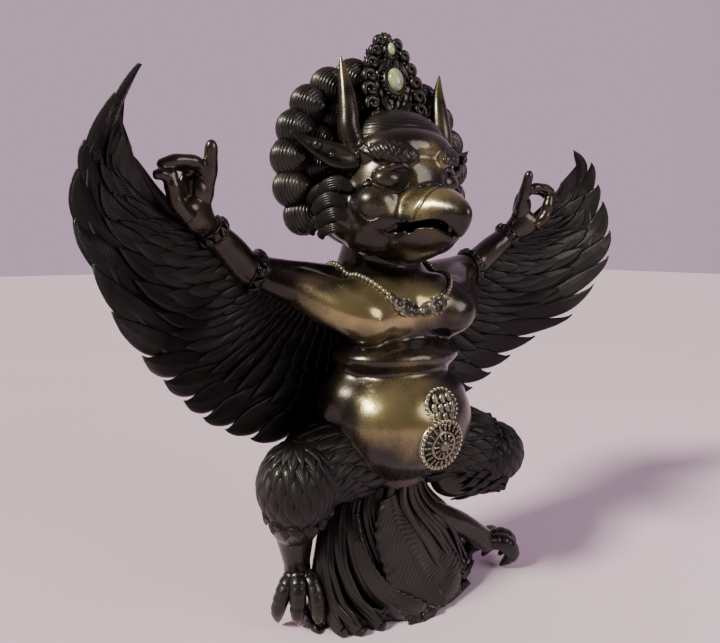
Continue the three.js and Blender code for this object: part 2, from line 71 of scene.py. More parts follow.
eye = np.array([CAMERA_DISTANCE * np.sin(CAMERA_TURN),
                CAMERA_AIM_Y - CAMERA_DISTANCE * np.cos(CAMERA_TURN), CAMERA_HEIGHT])
heading = -CAMERA_TURN - PAN
look = Vector((np.sin(heading) * np.cos(TILT), np.cos(heading) * np.cos(TILT), np.sin(TILT)))
camera_data = bpy.data.cameras.new("camera")
camera_data.sensor_fit, camera_data.sensor_width = "HORIZONTAL", SENSOR
camera_data.lens = SENSOR * (FOCAL / PICTURE_WIDE)
camera_data.clip_start = 0.01
camera = bpy.data.objects.new("camera", camera_data)
camera.location = eye * MM
camera.rotation_euler = look.to_track_quat("-Z", "Y").to_euler()
bpy.context.scene.collection.objects.link(camera)
bpy.context.scene.camera = camera
print("camera at", eye.round(1), "mm, lens", round(camera_data.lens, 1), "mm")

# %% [markdown]
# ## Surfaces from arrays
#
# Every form below is a skin: rings of points, one after the other, closed to a point at each end.
# A ring turns to the left when it is seen from the far end, so the faces point outwards. A skin
# is three arrays: points, four-sided faces and three-sided faces. Working on whole arrays keeps
# it quick and lets a formula be written once for thousands of points.

# %% Smooth lines and directions
spaced = np.linspace


def round_turn(count, shift=0.0):
    """Angles spread evenly round one whole turn."""
    return 2 * np.pi * (np.arange(count) + shift) / count


def unit(vectors):
    """Each vector divided by its own length."""
    return vectors / np.maximum(np.linalg.norm(vectors, axis=-1, keepdims=True), 1e-9)


def spline(points, t):
    """Place at share t of a smooth line through the points: a cubic between two neighbours, whose
    slope at each point is half the step from the point before to the point after."""
    p = np.asarray(points, float)
    p = np.concatenate([[2 * p[0] - p[1]], p, [2 * p[-1] - p[-2]]])
    spans = len(p) - 3
    s = np.clip(np.asarray(t, float), 0, 1) * spans
    k = np.minimum(s.astype(int), spans - 1)
    f = (s - k).reshape(s.shape + (1,) * (p.ndim - 1))
    a, b, c, d = p[k], p[k + 1], p[k + 2], p[k + 3]
    return 0.5 * (2 * b + (c - a) * f + (2 * a - 5 * b + 4 * c - d) * f**2 + (3 * b - a - 3 * c + d) * f**3)


def sided(side, places):
    """Places given for the figure's left side, mirrored to its right where side is -1."""
    return np.asarray(places, float) * [side, 1, 1]


def wave(x, width):
    """A smooth hump: 1 at zero, 0 beyond the width, half a cosine between."""
    return 0.5 + 0.5 * np.cos(np.pi * np.clip(np.abs(x) / width, 0, 1))


def between(value, zero, one):
    """0 where the value is at the first bound or before it, 1 at the second, and even between."""
    return np.clip((value - zero) / (one - zero), 0, 1)


def outward(tilt, turn):
    """The way out of a ball at this tilt from level and this turn round the upright axis."""
    level = np.cos(tilt)
    return np.stack(np.broadcast_arrays(level * np.cos(turn), level * np.sin(turn), np.sin(tilt)), -1)


def square_to(axes, hint):
    """Two ways square to each axis and to each other, the first also square to the hint."""
    side = unit(np.cross(axes, hint))
    return side, np.cross(axes, side)


def rib(height, width):
    """A relief: one ridge along a leaf's middle, as a bell curve."""
    return lambda t, u: height * np.exp(-((u / width) ** 2))


def dent(depth, width):
    """A relief: one smooth groove along a leaf's middle."""
    return lambda t, u: -depth * wave(u, width)


# %% Skins
def skins(rings, starts, ends, uv=None):
    """Several skins at once, rings shaped (skins, rows, columns, 3): each row is joined to the next,
    and the outer rows to a point. A corner keeps its share round the ring and its share of the way."""
    many, rows, cols = rings.shape[:3]
    i, j = np.meshgrid(np.arange(rows - 1), np.arange(cols), indexing="ij")
    a, b = (i * cols + j).ravel(), (i * cols + (j + 1) % cols).ravel()
    quads = np.stack([a, b, b + cols, a + cols], -1)
    j = np.arange(cols)
    first, last = rows * cols, (rows - 1) * cols
    tris = np.vstack([
        np.stack([np.full(cols, first), (j + 1) % cols, j], -1),
        np.stack([np.full(cols, first + 1), last + j, last + (j + 1) % cols], -1),
    ])
    points = np.concatenate([rings.reshape(many, -1, 3), starts[:, None], ends[:, None]], 1)
    corner = points[:, quads]
    area = np.cross(corner[:, :, 2] - corner[:, :, 0], corner[:, :, 3] - corner[:, :, 1])
    inside_out = ((corner.mean(2) - points.mean(1, keepdims=True)) * area).sum((1, 2)) < 0
    if uv is None:
        uv = np.stack(np.broadcast_arrays(np.arange(cols) / cols, spaced(0, 1, rows)[:, None]), -1)
    uv = np.broadcast_to(uv, (many, rows, cols, 2)).reshape(many, -1, 2)
    poles = np.broadcast_to([[[0.5, 0.0], [0.5, 1.0]]], (many, 2, 2))
    hop = (np.arange(many) * points.shape[1])[:, None, None]
    quads, tris = quads + hop, tris + hop
    quads[inside_out] = quads[inside_out][..., ::-1]
    tris[inside_out] = tris[inside_out][..., ::-1]
    uv = np.concatenate([uv, poles], 1).reshape(-1, 2)
    return points.reshape(-1, 3), quads.reshape(-1, 4), tris.reshape(-1, 3), uv


def skin(rings, start, end):
    """One skin over rings shaped (rows, columns, 3)."""
    return skins(rings[None], np.asarray(start, float)[None], np.asarray(end, float)[None])


def gather(forms):
    """Several skins as one: the points in a row, and the faces counted on."""
    hops = np.cumsum([0] + [len(form[0]) for form in forms[:-1]])
    return tuple(np.vstack([form[n] + (hop if n in (1, 2) else 0) for form, hop in zip(forms, hops)])
                 for n in range(4))


def both(build):
    """The forms that a function of the side makes, for the right side and then the left."""
    return [form for side in SIDES for form in build(side)]


# %% Tubes and balls
def tube(path, sizes, face, rows=32, cols=20, ends=(0.0, 0.0), relief=None):
    """A section carried along a smooth path. The section is an oval, half width by half depth, and
    the depth points the way of face. Each end is rounded over its share of the length, by
    a quarter circle. relief(t, turn) is added to the section's size, in mm."""
    t = spaced(0, 1, rows)
    if max(ends) > 0:
        t = (1 - np.cos(np.pi * t)) / 2
    centre = spline(path, t)
    along = unit(np.gradient(centre, axis=0))
    wide = unit(np.cross(np.asarray(face, float), along))
    deep = np.cross(along, wide)
    half = np.maximum(spline(sizes, t), 0.02)
    cap = np.ones(rows)
    for share, way in zip(ends, (t, 1 - t)):
        if share > 0:
            cap *= np.sqrt(np.clip(1 - (1 - np.clip(way / share, 0, 1)) ** 2, 1e-4, 1))
    turn = round_turn(cols)
    extra = 0 if relief is None else relief(t[:, None], turn[None, :])
    a = (half[:, :1] + extra) * cap[:, None] * np.cos(turn)
    b = (half[:, 1:] + extra) * cap[:, None] * np.sin(turn)
    rings = centre[:, None] + wide[:, None] * a[..., None] + deep[:, None] * b[..., None]
    return skin(rings, centre[0], centre[-1])


def ball(centre, halves, rows=24, cols=36, relief=None):
    """An oval body about the upright axis: the radius at each height is the half size times the
    cosine of the tilt. relief(tilt, turn) is added to all three half sizes."""
    tilt, turn = spaced(-np.pi / 2, np.pi / 2, rows + 2)[1:-1, None], round_turn(cols)[None]
    extra = 0 if relief is None else relief(tilt, turn)[..., None]
    rings = np.asarray(centre) + (np.asarray(halves, float) + extra) * outward(tilt, turn)
    top = np.array([0, 0, halves[2]])
    return skin(rings, centre - top, centre + top)


def paired(side, rows):
    """Balls on one side, each given as its centre on the left, its half sizes and its grid."""
    return [ball(sided(side, centre), halves, *grid) for centre, halves, *grid in rows]


# %% From arrays to Blender
def make(name, form):
    """Puts points (mm) and faces into a mesh in metres, with the object at the origin."""
    points, quads, tris, uv = form
    mesh = bpy.data.meshes.new(name)
    mesh.vertices.add(len(points))
    mesh.vertices.foreach_set("co", (points * MM).astype(np.float32).ravel())
    mesh.loops.add(quads.size + tris.size)
    mesh.loops.foreach_set("vertex_index", np.concatenate([quads.ravel(), tris.ravel()]).astype(np.int32))
    sizes = np.concatenate([np.full(len(quads), 4), np.full(len(tris), 3)])
    mesh.polygons.add(len(sizes))
    mesh.polygons.foreach_set("loop_start", (np.cumsum(sizes) - sizes).astype(np.int32))
    mesh.polygons.foreach_set("use_smooth", np.full(len(sizes), True))
    mesh.update(calc_edges=True)
    corners = np.empty(len(mesh.loops), np.int32)
    mesh.loops.foreach_get("vertex_index", corners)
    mesh.uv_layers.new(name="surface").data.foreach_set("uv", uv[corners].astype(np.float32).ravel())
    piece = bpy.data.objects.new(name, mesh)
    bpy.context.scene.collection.objects.link(piece)
    return piece


def points_of(piece):
    """A piece's points in mm."""
    values = np.empty(len(piece.data.vertices) * 3, np.float32)
    piece.data.vertices.foreach_get("co", values)
    return values.reshape(-1, 3).astype(float) / MM


def place_points(piece, points):
    """Moves a piece's points to these places, in mm."""
    piece.data.vertices.foreach_set("co", (points * MM).astype(np.float32).ravel())
    piece.data.update()


def normals_of(piece):
    """The way each of a piece's points faces."""
    values = np.empty(len(piece.data.vertices) * 3, np.float32)
    piece.data.vertices.foreach_get("normal", values)
    return values.reshape(-1, 3)


# %% Smoothing
def ends_of(piece):
    """The points at the two ends of every edge, and how many edges meet at each point."""
    edges = np.empty(len(piece.data.edges) * 2, np.int32)
    piece.data.edges.foreach_get("vertices", edges)
    count = np.maximum(np.bincount(edges, minlength=len(piece.data.vertices)), 1)
    return *edges.reshape(-1, 2).T, count


def edge_mean(ends, at_first, at_second):
    """At each point, the mean over its edges of what each edge gives its first or second end."""
    first, second, count = ends
    return (np.bincount(first, at_first, len(count)) + np.bincount(second, at_second, len(count))) / count


def smooth(piece, steps):
    """Moves each point, once for each step, that share of the way to the middle of its neighbours."""
    ends = ends_of(piece)
    first, second = ends[:2]
    points = points_of(piece)
    for step in steps:
        middle = [edge_mean(ends, points[second, axis], points[first, axis]) for axis in range(3)]
        points += step * (np.stack(middle, -1) - points)
    place_points(piece, points)


def relax(piece, rounds):
    """Soft blends, as a wax model has: each point moves half of the way to the middle of its
    neighbours, and then nearly as far back, so that the form doesn't shrink."""
    smooth(piece, [0.5, -0.48] * rounds)


def soften(piece, rounds, share=1.0):
    """Joins that run together: each point moves halfway to the middle of its neighbours, times the
    share, which may differ from point to point."""
    smooth(piece, [0.5 * share] * rounds)


# %% Fusing skins that run into each other
def fuse(name, forms, grain, melt):
    """One skin over several that overlap: a voxel remesh with cells of that grain, in mm, then
    melt plain smoothing rounds for the joins and two relaxing rounds for the grid's own steps."""
    piece = make(name, gather(forms))
    remesh = piece.modifiers.new("fuse", "REMESH")
    remesh.mode, remesh.voxel_size = "VOXEL", grain * MM
    remesh.use_smooth_shade = True
    done = bpy.data.meshes.new_from_object(piece.evaluated_get(bpy.context.evaluated_depsgraph_get()))
    piece.modifiers.clear()
    old, piece.data = piece.data, done
    bpy.data.meshes.remove(old)
    done.name = name
    soften(piece, melt)
    relax(piece, 2)
    print(name, "fused:", len(done.polygons), "faces")
    return piece


# %% [markdown]
# ## The body
#
# Belly, roll, ribs, breasts, neck, arms and legs are one smooth mass on the casting. Each is a
# plain closed form that sinks into its neighbours, with the sizes of the solids. One remesh wraps
# them in a single skin, and smoothing rounds melt the joins as wax would, most of them on the chest
# and between the rolls. The hands are made in the same way, with smaller cells.

# %% Torso
def torso():
    """Seat, belly, its upper roll, ribs, chest, neck and the root of the tail, then the breasts."""
    forms = [
        ball((0, 14, 58), (20, 17, 15)),
        ball((-0.6, 5, 77), (28.4, 26, 22.6), rows=36, cols=56),
        ball((0, 6.4, 84), (27.4, 23.8, 15.4), rows=30, cols=56),
        ball((0, 8, 101.4), (26.2, 20.6, 7.6), rows=30, cols=56),
        ball((0, 11, 118), (27, 15.6, 17)),
        ball((0, 16, 128), (20, 14, 12)),
        tube([(0, 18, 112), (0, 20, 126), (0, 19, 137), (0, 13, 150)],
             [(27, 14), (21.5, 15), (16.6, 15), (15, 15)], FRONT),
        tube([(0, 15, 62), (0, 12, 44), (-1, 9, 26)], [(15, 12), (15, 9), (15, 8)], FRONT),
    ]
    breast = [(48, 21, 130.4), (37, 15.6, 127), (27, 6.4, 121), (17.6, -1.6, 115.6), (11, -5.4, 111.6)]
    girth = [(5, 5), (8, 7.6), (10.6, 9.2), (10.8, 10), (7.6, 7.2)]
    for side in SIDES:
        forms += [
            tube(sided(side, breast), girth, UP, ends=(0, 0.4)),
            *paired(side, [
                ((16, 11.6, 82), (15, 14.4, 17)),
                ((15.5, 5.6, 119.4), (17, 12.4, 12.4)),
                ((6, 2.6, 117.4), (9, 10, 10.5)),
                ((12.2, -11.2, 108.8), (1.7, 1.1, 1.6), 8, 12),
            ]),
        ]
    return forms


# %% Arms and hands
PALM_OUT = (-0.469, -0.883, 0)


FINGERS = [  # places from root to tip, and half width
    ([(72.8, 14.4, 151), (71.4, 13, 158), (70.8, 10.2, 165), (70.8, 7.6, 174.2)], 2.6),
    ([(78, 10.6, 150.5), (82, 8.4, 154.5), (83.2, 7.6, 159.5), (84, 7.4, 164.6)], 2.7),
    ([(71.8, 11.4, 163.8), (74.8, 9.4, 166.7), (79, 8.4, 167.3), (83.4, 8.2, 166.6),
      (87.4, 8.4, 165)], 2.2),
    ([(83.4, 7.4, 160), (85.6, 7, 162.6), (89, 7.2, 162.2)], 1.9),
    ([(72, 15.4, 157), (73.6, 15.4, 163), (77.4, 13.6, 166), (82, 11.4, 166), (86.6, 10.4, 163)], 2.1),
]


def finger(places, size):
    """A tube that thins by a sixth, with three soft swellings for the joints."""
    bulge = lambda t, turn: 0.06 * size * np.cos(2 * np.pi * 3 * t) + 0 * turn
    sizes = [(size, size), (size * 0.95, size * 0.95), (size * 0.84, size * 0.84)]
    return tube(places, sizes, FRONT, rows=30, cols=16, ends=(0, 0.14), relief=bulge)


def hand(side):
    """A palm turned a little inwards, one finger held up, and two that curl over to meet the thumb."""
    palm = [(68, 17.8, 144.5), (71, 16.2, 148.5), (74, 13.6, 152), (76, 11.8, 157.4)]
    sizes = [(4.4, 4.0), (4.8, 4.0), (6.5, 3.6), (6.2, 2.6)]
    heel = [((73.4, 12.2, 159.4), (3.2, 2.6, 5), 14, 20), ((75.8, 14.8, 160.6), (3.6, 1.9, 5), 14, 20)]
    return [
        tube(sided(side, palm), sizes, sided(side, PALM_OUT), ends=(0, 0.2)),
        *(finger(sided(side, places), size) for places, size in FINGERS),
        *paired(side, heel),
    ]


def arm(side):
    """One tube from the shoulder out and up to the wrist."""
    line = [(14, 18, 124.6), (30, 20.5, 128.8), (43, 22.5, 131.2), (54, 22.5, 134), (62, 19.5, 141),
            (70.4, 16.4, 148)]
    sizes = [(10.6, 9.6), (7.8, 7.4), (6.9, 6.5), (6.5, 6.2), (6.0, 5.7), (4.7, 4.3)]
    return tube(sided(side, line), sizes, UP, rows=60, cols=28)


# %% Legs and feet
CALF_FACE = (0, -1, 0.4)
LEGS = {
    -1: dict(
        thigh=[(12, 14, 60), (30, 8, 64), (45, 4, 61)],
        knee=((45.5, 3, 60.5), (13.4, 13, 14.6)),
        calf=[(45, 4, 55), (44, 8, 46), (42.6, 11.5, 40)],
        shank=[(43, 10.6, 43), (41.4, 13, 33), (40, 15, 22.5)],
        girth=[(8.4, 6.6), (6.6, 5.2), (4.6, 4.3)],
        knee_rows=spaced(0.17, 0.66, 6),
        calf_rows=[-0.04, 0.12],
        toe_size=1.04,
        toes=[
            [(40.4, 15, 22), (45.4, 12.8, 18.6), (48.4, 14.2, 9.6), (46.8, 18, 1.6)],
            [(40.4, 14.6, 22.4), (42.6, 9.4, 19.4), (43.4, 8.4, 9.6), (41, 12.8, 1.6)],
            [(39.4, 14.4, 22), (37.2, 8.2, 18.6), (37, 4.8, 9.6), (34.8, 8.8, 1.6)],
            [(39, 17, 22), (37, 22.6, 18), (36, 25, 9), (36, 22.6, 1.6)],
        ],
    ),
    1: dict(
        thigh=[(12, 14, 60), (29, 8, 62), (44, 4, 57)],
        knee=((47, 3.5, 54.4), (13.6, 13, 12.2)),
        calf=[(48, 4, 50), (34, 6.5, 47.6), (18, 7, 44.6)],
        shank=[(13, 6, 35), (31, 4.8, 25.8), (47, 4, 13.6)],
        girth=[(6, 5.6), (5.3, 5.1), (5, 4.8)],
        knee_rows=spaced(0.18, 0.58, 5),
        calf_rows=[-0.1, 0.08, 0.26, 0.44],
        toe_size=1.22,
        toes=[
            [(46, 4.4, 14), (54, 2, 14.8), (60.4, 3.4, 9.4), (58, 7, 2.4)],
            [(46, 3.4, 14), (52, -1.6, 13.8), (56, -2.4, 7.6), (52.6, 1, 1.8)],
            [(46, 5, 14), (54, 8.2, 13.2), (56.6, 11.2, 7), (51.8, 11.2, 1.9)],
            [(45, 5, 13), (42.4, 8.8, 11.4), (42, 11.6, 6.4), (46, 12, 2)],
        ],
    ),
}


def limb(side):
    """Thigh, knee, calf and shank, down to the ball of the foot."""
    leg = LEGS[side]
    return [
        tube(sided(side, leg["thigh"]), [(15, 14.5), (14, 13.5), (11.5, 11.5)], UP, cols=32, ends=(0, 0.2)),
        ball(sided(side, leg["knee"][0]), leg["knee"][1], 28, 40),
        tube(sided(side, leg["calf"]), [(12, 12), (10, 9.6), (8.4, 7)], CALF_FACE, cols=28, ends=(0, 0.35)),
        tube(sided(side, leg["shank"]), leg["girth"], FRONT, cols=24),
        ball(sided(side, leg["shank"][2]), (5.4, 5.2, 4.4), 14, 20),
    ]


# %% The fused body and hands
body = fuse("garuda_body", [*torso(), *both(lambda side: (arm(side), *limb(side)))], 1.04, melt=6)
_, y, z = points_of(body).T
chest = between(z, 106, 110) * between(z, 132, 128) * between(y, 9, 3)
folds = 0.8 * wave(z - 94, 8) * between(y, 12, 6)
soften(body, 38, np.maximum(chest, folds)[:, None])
hands = fuse("hands", both(hand), 0.47, melt=2)

# %% [markdown]
# ## The head
#
# The head is finer work than the body, so it gets a skin of its own with smaller cells: skull,
# bulging temples, round cheeks, and the hooked upper beak over a heavy lower one, with a real
# gap between them. The mouth's corners and the creases are then carved: every point near a drawn
# line moves inwards, most at the line itself, as a chaser's punch would push the wax.

# %% Head
MOUTH_Z = 148.2
BROW = [(4.6, -9, 171), (9.4, -8, 172.6), (14.2, -5.2, 173.4), (18.6, -0.8, 173.8)]
BILL = [  # ridge, y and z; edge of the lip, y and z; half width there
    (-4, 163.4, 0, 149, 14.4), (-11, 163, -8.6, 148.4, 13.4), (-16.5, 162, -13, 149, 11.8),
    (-20.6, 160.8, -17, 149.8, 9.8), (-24.6, 158.6, -20.6, 150.2, 7.6), (-28.4, 156, -23.6, 149.4, 5.6),
    (-30.6, 153.2, -25, 148, 4), (-30.4, 149.8, -25.6, 146.6, 2.8), (-28.6, 146.6, -25.9, 145.2, 1.6),
    (-26.5, 144.2, -26.2, 144.2, 0.5),
]
JAW = [  # keel, y and z; edge of the lip, y and z; half width there
    (8, 134.4, 6, 147, 15), (-2, 135.6, -2, 146.8, 14.2), (-9, 137.6, -9, 146.8, 12.8),
    (-14.6, 139.4, -14.6, 147.9, 10.4), (-19, 141.2, -19, 148.6, 7.4), (-22.4, 142.8, -22, 147.4, 4.6),
    (-24, 144, -23.8, 145.4, 1.8),
]


def beak_half(lines, dome):
    """Half a beak: each section rises from the lip's edge to the ridge (or falls to the keel) as the
    sine of its angle, is as wide as the cosine, and closes across the mouth over a low dome."""
    t = spaced(0, 1, 60)
    ridge_y, ridge_z, lip_y, lip_z, half = np.moveaxis(spline(lines, t), -1, 0)[..., None]
    over, back = np.pi * spaced(0, 1, 33), spaced(-1, 1, 16)[1:-1]
    x = np.concatenate([np.cos(over), back])[None] * half
    share = np.concatenate([np.sin(over), dome * (1 - back**2)])[None]
    rings = np.stack([x, lip_y + (ridge_y - lip_y) * share, lip_z + (ridge_z - lip_z) * share], -1)
    return skin(rings, rings[0].mean(0), rings[-1].mean(0))


def head_forms():
    """Skull, brow and throat, the beak's two halves, and cheeks, temples and brow ridges."""
    forms = [
        ball((0, 9, 162), (22.2, 20.3, 21.8), rows=40, cols=60),
        ball((0, 3, 175.6), (19.4, 12.6, 9)),
        ball((0, 12, 147), (17, 15, 10)),
        ball((0, -1, 156.4), (14.6, 11.4, 7.8)),
        beak_half(BILL, 0.16),
        beak_half(JAW, 0.3),
    ]
    for side in SIDES:
        forms += [
            *paired(side, [
                ((15.4, 0.4, 156), (9.2, 9.2, 7.8)),
                ((13.4, -1, 151.6), (8.8, 8.4, 7)),
                ((14.6, 5, 146.6), (10, 9.6, 8.6)),
                ((20.4, 9.6, 154), (9.4, 8.4, 11)),
                ((17.2, 3.8, 174), (4.4, 4.8, 4.6), 16, 24),
            ]),
            tube(sided(side, BROW), [(2, 2), (3.4, 2.2), (3.4, 2.2), (2.2, 2)], (0, -1, 0.2),
                 ends=(0.1, 0.15)),
        ]
    return forms


# %% The fused head
head = fuse("garuda_head", head_forms(), 0.5, melt=3)
_, y, z = points_of(head).T
behind = between(y, -13, -9) * np.maximum(between(z, 172, 169), 0.3)
in_mouth = wave(z - MOUTH_Z, 3.4) * between(y, -6, -9)
soften(head, 33, np.maximum(behind * (1 - in_mouth), 0.13)[:, None])


# %% Carving along a line, and laying a line on a surface
def carve(piece, line, depth, width):
    """Pushes points inwards along their normals by the depth times a smooth hump of their distance
    from the line; a negative depth raises them."""
    path = spline(line, spaced(0, 1, 90))
    points = points_of(piece)
    near = np.flatnonzero(((points > path.min(0) - width) & (points < path.max(0) + width)).all(1))
    gap = np.sqrt(((points[near, None] - path[None]) ** 2).sum(-1)).min(1)
    points[near] -= normals_of(piece)[near] * (depth * wave(gap, width))[:, None]
    place_points(piece, points)


def tree_of(*pieces):
    """Pieces in mm, sorted so that the nearest place on them is found quickly."""
    points, faces = [], []
    for piece in pieces:
        start = len(points)
        faces += [tuple(start + corner for corner in face.vertices) for face in piece.data.polygons]
        points += [Vector(p) for p in points_of(piece)]
    return BVHTree.FromPolygons(points, faces)


def laid(tree, places, lift=0.0):
    """The nearest places on a surface, raised by the lift along its normals, and those normals."""
    hits = [tree.find_nearest(Vector(place)) for place in np.reshape(places, (-1, 3))]
    on = np.array([hit[0] for hit in hits])
    out = np.array([hit[1] for hit in hits])
    shape = np.shape(places)
    return (on + out * lift).reshape(shape), out.reshape(shape)


# %% Mouth corners, creases and breastbone
CORNER = [(14.4, -6, 147.2), (12.6, -9.4, 147.8), (10.6, -13.6, 148.2)]
CERE = [(0.3, -17, 162), (3.6, -17.6, 160.2), (8.6, -17, 156), (10.8, -15, 150.6)]
CREASE = [(22.8, -2.4, 152.2), (20.8, -5, 151), (18.2, -7.6, 152.3)]
SOCKET = [(9.6, -8, 164.4), (14.6, -5, 164.4)]
BREASTBONE = [(0, -8, 122), (0, -11, 115), (0, -12, 108)]
head_tree = tree_of(head)
for side in SIDES:
    for line, depth, width in [
        (CORNER, 1.3, 1.4), (CREASE, 0.45, 0.9), (CERE, 0.4, 0.65), (SOCKET, 0.9, 5.4),
    ]:
        carve(head, laid(head_tree, spline(sided(side, line), spaced(0, 1, 24)))[0], depth, width)
carve(body, BREASTBONE, 0.7, 4.6)
relax(head, 1)
head_tree, body_tree = tree_of(head), tree_of(body)
print("mouth corners and creases carved")


# %% [markdown]
# ## Feathers, many at once
#
# Feathers, locks of hair, leaves and petals are one kind of shape: a line with a width, arched
# over a flat back, pointed at its end. Hundreds of them are worked out in one go, so a feather
# has a line of places for each of its fellows, and the arrays carry them all along.

# %% Leaves
def leaves(lines, outs, half, widths, thick=0.8, rows=9, top=6, relief=None, tips=0.4, back=0.34):
    """Each leaf follows its smooth line, faces outs, and at share t along it is half times widths
    wide to each side. Its section rises to thick as the square root of 1 - u * u, where u runs
    from edge to edge, over a back that share as deep, and thins to tips times that at its end.
    relief(t, u) is added to the height, in mm, and to the back's too where that is as deep."""
    lines = np.asarray(lines, float)
    t = spaced(0, 1, rows)
    centre = spline(np.moveaxis(lines, 1, 0), t)
    along = unit(np.gradient(centre, axis=0))
    outs = np.broadcast_to(outs, (len(lines), 3))
    wide = unit(np.cross(outs[None], along))
    out = np.cross(along, wide)
    full = back == 1
    under = spaced(-1, 1, top)[1:-1] if full else spaced(-0.8, 0.8, max(2, top // 3))
    u = np.concatenate([spaced(1, -1, top), under])
    front = np.arange(len(u)) < top
    rise = np.sqrt(1 - u**2 + 1e-6)
    height = thick * (1 + (tips - 1) * t)[:, None] * np.where(front, rise, -back * (rise if full else 1))
    if relief is not None:
        height = height + np.where(front, 1, -full) * relief(t[:, None], u[None]) * (1 - u**4)
    w = np.maximum(spline(np.array(widths, float)[:, None], t), 0.02)
    half = np.broadcast_to(half, (len(lines),))[:, None]
    aside = w[:, None] * half * u
    rings = (centre[:, :, None] + wide[:, :, None] * aside[..., None]
             + out[:, :, None] * height[:, None, :, None])
    length = np.linalg.norm(np.diff(centre, axis=0), axis=-1).sum(0)
    uv = np.stack(np.broadcast_arrays(
        u * w * half[..., None] / 10, t[:, None] * length[:, None, None] / 10), -1)
    return skins(np.moveaxis(rings, 1, 0), centre[0], centre[-1], uv)


# %% [markdown]
# ## Wings
#
# A wing is one cupped sheet. Its place is a function of two shares: s runs from the wing's tip
# to the body, and v from the arm's edge to the tips of the flight feathers. Fifteen flight
# feathers span it from edge to edge, each turned a little, so that it laps over the next. Rows of
# short coverts cover their roots on both faces, like shingles.

# %% Wing sheet
WING_BONE = [(94.4, 8, 178), (93.6, 9.8, 168), (86, 14, 157.6), (75, 18, 147.6), (61, 22, 139),
             (46, 25, 133), (32, 27, 127), (18, 28, 119), (6, 30, 108)]
FEATHER_TIPS = [(90.6, 4, 191.5), (92.3, 2.5, 191.5), (99.8, -1.5, 182), (107.6, 0, 169.5), (110, -1, 162),
                (112, -4, 149), (108.6, -6.4, 137.5), (103.8, -3, 124.5), (95.3, 1.5, 110.8),
                (86, 14.5, 100), (77.8, 22, 90.6), (70, 26.5, 82.4), (61, 29.5, 75.8), (51, 30.5, 70.4),
                (39, 30.5, 66), (26, 30, 63), (12, 29, 61)]
LEFT_TIP_DROPS = [8, 8, 3.5]
COVERT_ROWS = {  # front and back: where a row starts and ends across the wing, and its feathers
    1: [(0.42, 0.76, 21), (0.3, 0.6, 24), (0.2, 0.46, 27), (0.1, 0.33, 30), (0.02, 0.2, 33)],
    -1: [(0.3, 0.62, 20), (0.16, 0.44, 23), (0.02, 0.27, 26)],
}
SHEET_REACH = {  # how far the sheet itself goes towards the tips, along the wing
    -1: [0.84, 0.9, 0.88, 0.86, 0.84], 1: [0.78, 0.83, 0.83, 0.82, 0.8],
}


def wing_place(side, s, v):
    """Between the bone and the tips by the share v, bowed back by 3.4 mm halfway, and near the
    wing's tip also along the row of tips."""
    s, v = np.broadcast_arrays(np.asarray(s, float), np.asarray(v, float))
    edge = sided(side, FEATHER_TIPS)
    if side > 0:
        edge[:3, 2] -= LEFT_TIP_DROPS
    bone, tips = spline(sided(side, WING_BONE), s), spline(edge, s)
    run = unit(spline(edge, s + 0.01) - spline(edge, s - 0.01))
    arch = (4 * v * (1 - v))[..., None]
    return (bone + (tips - bone) * v[..., None] + run * 4.5 * arch * np.maximum(0, 0.4 - s)[..., None]
            + np.array([side * 0.3, 1, 0]) * 3.4 * arch)


def wing_out(side, s, v, step=0.03):
    """The way the wing's front faces: across both directions of the sheet."""
    across = wing_place(side, np.minimum(1, s + step), v) - wing_place(side, np.maximum(0, s - step), v)
    outward = wing_place(side, s, np.minimum(1, v + step)) - wing_place(side, s, np.maximum(0, v - step))
    return unit(np.cross(across, outward) * side)


# %% Flight feathers
def barbs(count, slant):
    """Grooves that run back from the midrib, and the rib itself."""
    def relief(t, u):
        comb = np.abs(np.sin(np.pi * (t * count - np.abs(u) * slant)))
        return -0.14 * (1 - comb) ** 1.5 + 0.35 * np.exp(-((u / 0.13) ** 2)) * (1 - 0.7 * t)
    return relief


def swept(s, v):
    """Where along the bone a feather that ends at s is at v. Every feather starts further down, so it
    runs out along the row of tips, and the outer ones lie along the wing's edge."""
    slant = np.minimum(0.22, 1.05 - s) * np.clip(s / 0.35, 0.25, 1) * (1 - np.exp(-2.4 * (1 - v)))
    return s + slant + 0.26 * np.maximum(0, 1 - s / 0.62) * (1 - v) ** 1.15


def spacing(side, s, v):
    """How far apart two feathers run at v whose ends are one whole s apart, and the way from one to
    the other, square to their own run."""
    at = lambda s, v: wing_place(side, swept(s, v), v)
    run = unit(at(s, v + 0.03) - at(s, v - 0.03))
    aside = (at(s + 0.02, v) - at(s - 0.02, v)) / 0.04
    aside = aside - (aside * run).sum(-1, keepdims=True) * run
    return np.linalg.norm(aside, axis=-1), unit(aside)


